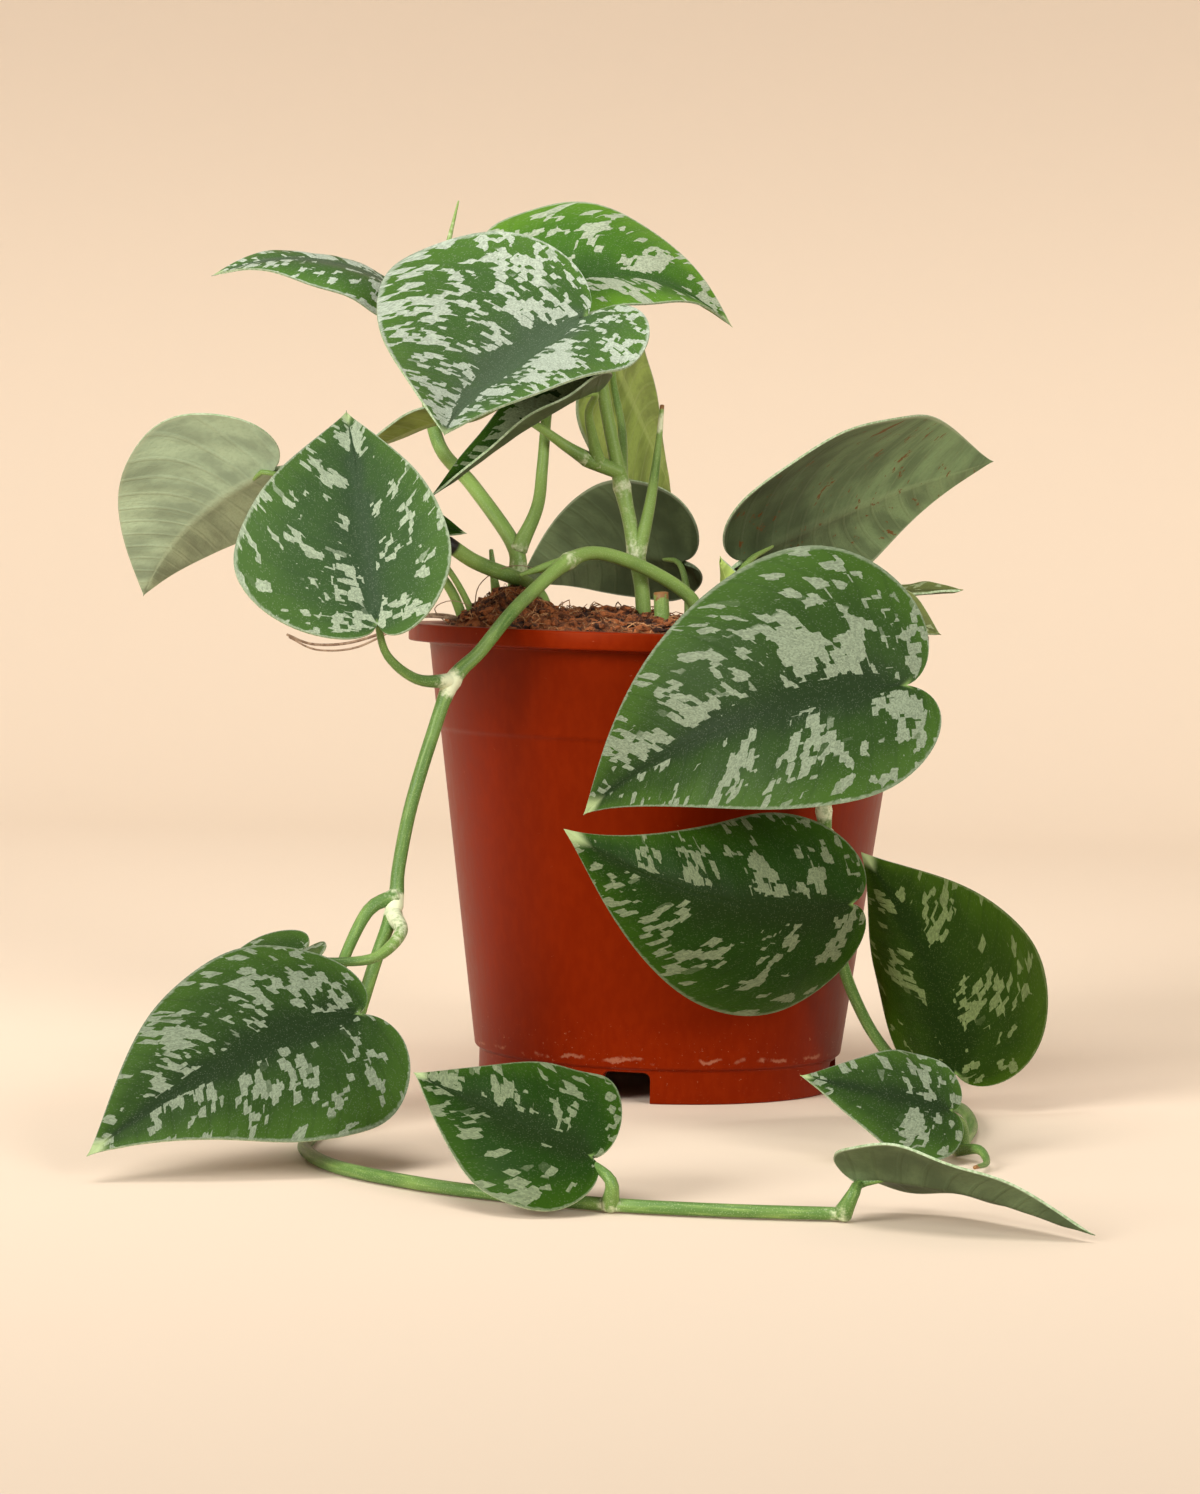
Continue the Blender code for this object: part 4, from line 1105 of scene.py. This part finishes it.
def makeLeaf(name, leaf):
    blade = makeBlade(name, leaf)
    thick = leaf["petiole"] * 1.05
    thin = 0.42 * thick
    runs = []                            # the stalk runs on as the midrib, under the blade
    for along, depth in ((0.05, 0.85 * thick), (0.24, 0.75 * thin)):
        point, facing = bladePoint(leaf, along, 0.0)[:2]
        runs.append(point - facing * depth)
    stalk = tubePiece(name + "_stalk", leaf["route"][:-1] + runs, (thick, thin), sides=14, flare=0.4,
                      marks=[(leaf["route"][0], *leaf["foot"])])
    dress(stalk, "stem")
    joinInto(blade, [stalk])
    addTo(blade, "satin_leaf", name)


for leafName, leaf in leaves.items():
    makeLeaf(leafName, {**leafUsual, **leaf})
print("leaves grown:", len(leaves))


# Dry roots over the rim, and loose hairs among the stems

strayThreads = [
    dict(name="dry_root_long", radius=(0.42, 0.28),
         route=[(-44, -17, 105), (-50, -19.5, 107), (-57, -22, 106.6), (-63, -24.5, 103.4),
                (-72, -27, 100.4), (-80, -29, 100.0), (-85.5, -30, 102)]),
    dict(name="dry_root_short", radius=(0.34, 0.2),
         route=[(-44, -18, 105), (-51, -21, 106.6), (-58, -23.5, 106.2), (-64, -26, 102.4),
                (-71, -28, 99.2), (-79, -30, 98.8), (-85, -30.3, 101.4)]),
    dict(name="hair_arch", radius=(0.14, 0.08),
         route=[(-44, -22, 108), (-43, -24, 114), (-38, -25, 118), (-32, -25, 118.6), (-27, -24, 116)]),
    dict(name="hair_low", radius=(0.14, 0.08),
         route=[(-50, -20, 105), (-53, -22, 108.5), (-49, -25, 110.5), (-44, -26, 109), (-42, -25, 107)]),
]
for thread in strayThreads:
    piece = tubePiece(thread["name"], thread["route"], thread["radius"], sides=8, spacing=1.2)
    dress(piece, "root")
    addTo(piece, "coir_soil")
print("threads laid")


# Floor, light and camera

studio = dict(                           # sizes here are metres
    # the front and wall colours are painted shade on the one paper
    floorColour=(0.850, 0.705, 0.550), shadedFrontColour=(0.520, 0.420, 0.320), shadedWallColour=(0.700, 0.575, 0.450),
    frontFade=(-0.60, 0.15), topFade=(0.12, 0.50),
    middle=-0.9, flatRadius=1.8, bend=0.7, sideWall=0.3, backWall=1.9,
    worldColour=(1.0, 0.98, 0.95), worldStrength=0.25,
    lights=[dict(name="key", place=(-1.15, -1.35, 0.75), aim=(0, 0, 0.09), size=0.9, power=6.9, spread=75,
                 colour=(1.0, 0.98, 0.95)),
            dict(name="front", place=(1.0, -1.5, 0.66), aim=(0, 0, 0.09), size=0.8, power=3.6, spread=75,
                 colour=(1.0, 0.98, 0.95)),
            dict(name="above", place=(-0.25, -0.35, 1.3), aim=(0, 0, 0.1), size=0.7, power=9,
                 colour=(1.0, 0.98, 0.95)),
            dict(name="wallLeft", place=(-0.5, 0.75, 0.95), aim=(-0.35, 1.35, 0.05), size=0.5, power=2.12,
                 colour=(1.0, 0.97, 0.93)),
            dict(name="wallRight", place=(0.5, 0.75, 0.95), aim=(0.35, 1.35, 0.05), size=0.5, power=1.68,
                 colour=(1.0, 0.97, 0.93))],
    wallTurns=(15, 165, 232, 308),         # more wall lights, round the rest of the sweep
    wallLight=dict(place=(1.5, 1.15), aim=(2.4, 0.1), size=0.6, power=8, colour=(1.0, 0.97, 0.93)))


def makeStage():
    material, tree, shader = newMaterial("paperSweep", Roughness=0.9)
    y, z = add(tree, "SeparateXYZ", {0: objectPlace(tree)}).outputs[1:]
    # painted shade: the one paper is darker towards the front and up the wall
    ahead, up = ranged(y, *studio["frontFade"]), ranged(z, *studio["topFade"])
    paper = mixed(ahead, studio["shadedFrontColour"], studio["floorColour"])
    finishShader(shader, mixed(up, paper, studio["shadedWallColour"]))
    flat, bend = studio["flatRadius"], studio["bend"]
    turned = bend * pi / 2

    def shape(u, v):
        turn = 2 * pi * u
        behind = smoothStep(sin(turn), 0.2, 0.8)
        wall = studio["sideWall"] + (studio["backWall"] - studio["sideWall"]) * behind
        run = v * (flat + turned + wall)
        if run < flat:
            reach, height = run, 0.0
        elif run < flat + turned:
            reach = flat + bend * sin((run - flat) / bend)
            height = bend * (1 - cos((run - flat) / bend))
        else:
            reach, height = flat + bend, bend + run - flat - turned
        point = Vector((reach * cos(turn), studio["middle"] + reach * sin(turn), height))
        return (point - potFoot) / mm, {}

    sweep = gridPiece("paper_sweep", 96, 120, shape)
    closeSeams(sweep)
    smooth(sweep, 60)
    sweep.data.materials.append(material)


def onSweep(turn, spot):                 # a point at (reach, height) from the middle of the sweep
    return (spot[0] * cos(radians(turn)), studio["middle"] + spot[0] * sin(radians(turn)), spot[1])


def makeLights():
    world = bpy.data.worlds.new("studio")
    bpy.context.scene.world = world
    world.use_nodes = True
    background = world.node_tree.nodes["Background"]
    background.inputs["Color"].default_value = (*studio["worldColour"], 1.0)
    background.inputs["Strength"].default_value = studio["worldStrength"]
    lights, wall = list(studio["lights"]), studio["wallLight"]
    for turn in studio["wallTurns"]:
        lights.append(dict(wall, name="wall%d" % turn, place=onSweep(turn, wall["place"]),
                           aim=onSweep(turn, wall["aim"])))
    for light in lights:
        data = bpy.data.lights.new(light["name"], "AREA")
        data.shape = "DISK"
        data.size = light["size"]
        data.spread = radians(light.get("spread", 180))
        data.energy = light["power"]
        data.color = light["colour"]
        lamp = bpy.data.objects.new(light["name"], data)
        bpy.context.scene.collection.objects.link(lamp)
        lamp.location = light["place"]
        lamp.rotation_euler = (Vector(light["aim"]) - lamp.location).to_track_quat("-Z", "Y").to_euler()


view = dict(fromFoot=(0, -960, 124), pitch=0.0487, yaw=-0.0158, roll=1.51, lens=100.1, sensor=36.0)


def makeCamera():
    data = bpy.data.cameras.new("studioCamera")
    data.lens = view["lens"]
    data.sensor_width = view["sensor"]
    data.clip_start = 0.01
    camera = bpy.data.objects.new("studioCamera", data)
    bpy.context.scene.collection.objects.link(camera)
    ahead = Vector((cos(view["pitch"]) * sin(view["yaw"]), cos(view["pitch"]) * cos(view["yaw"]),
                    -sin(view["pitch"])))
    camera.location = inPlace(view["fromFoot"])
    turned = ahead.to_track_quat("-Z", "Y").to_matrix() @ Matrix.Rotation(radians(view["roll"]), 3, "Z")
    camera.rotation_euler = turned.to_euler()
    bpy.context.scene.camera = camera


makeStage()
makeLights()
makeCamera()
bpy.context.scene.view_settings.view_transform = "Standard"
deselectAll()
print("stage set")
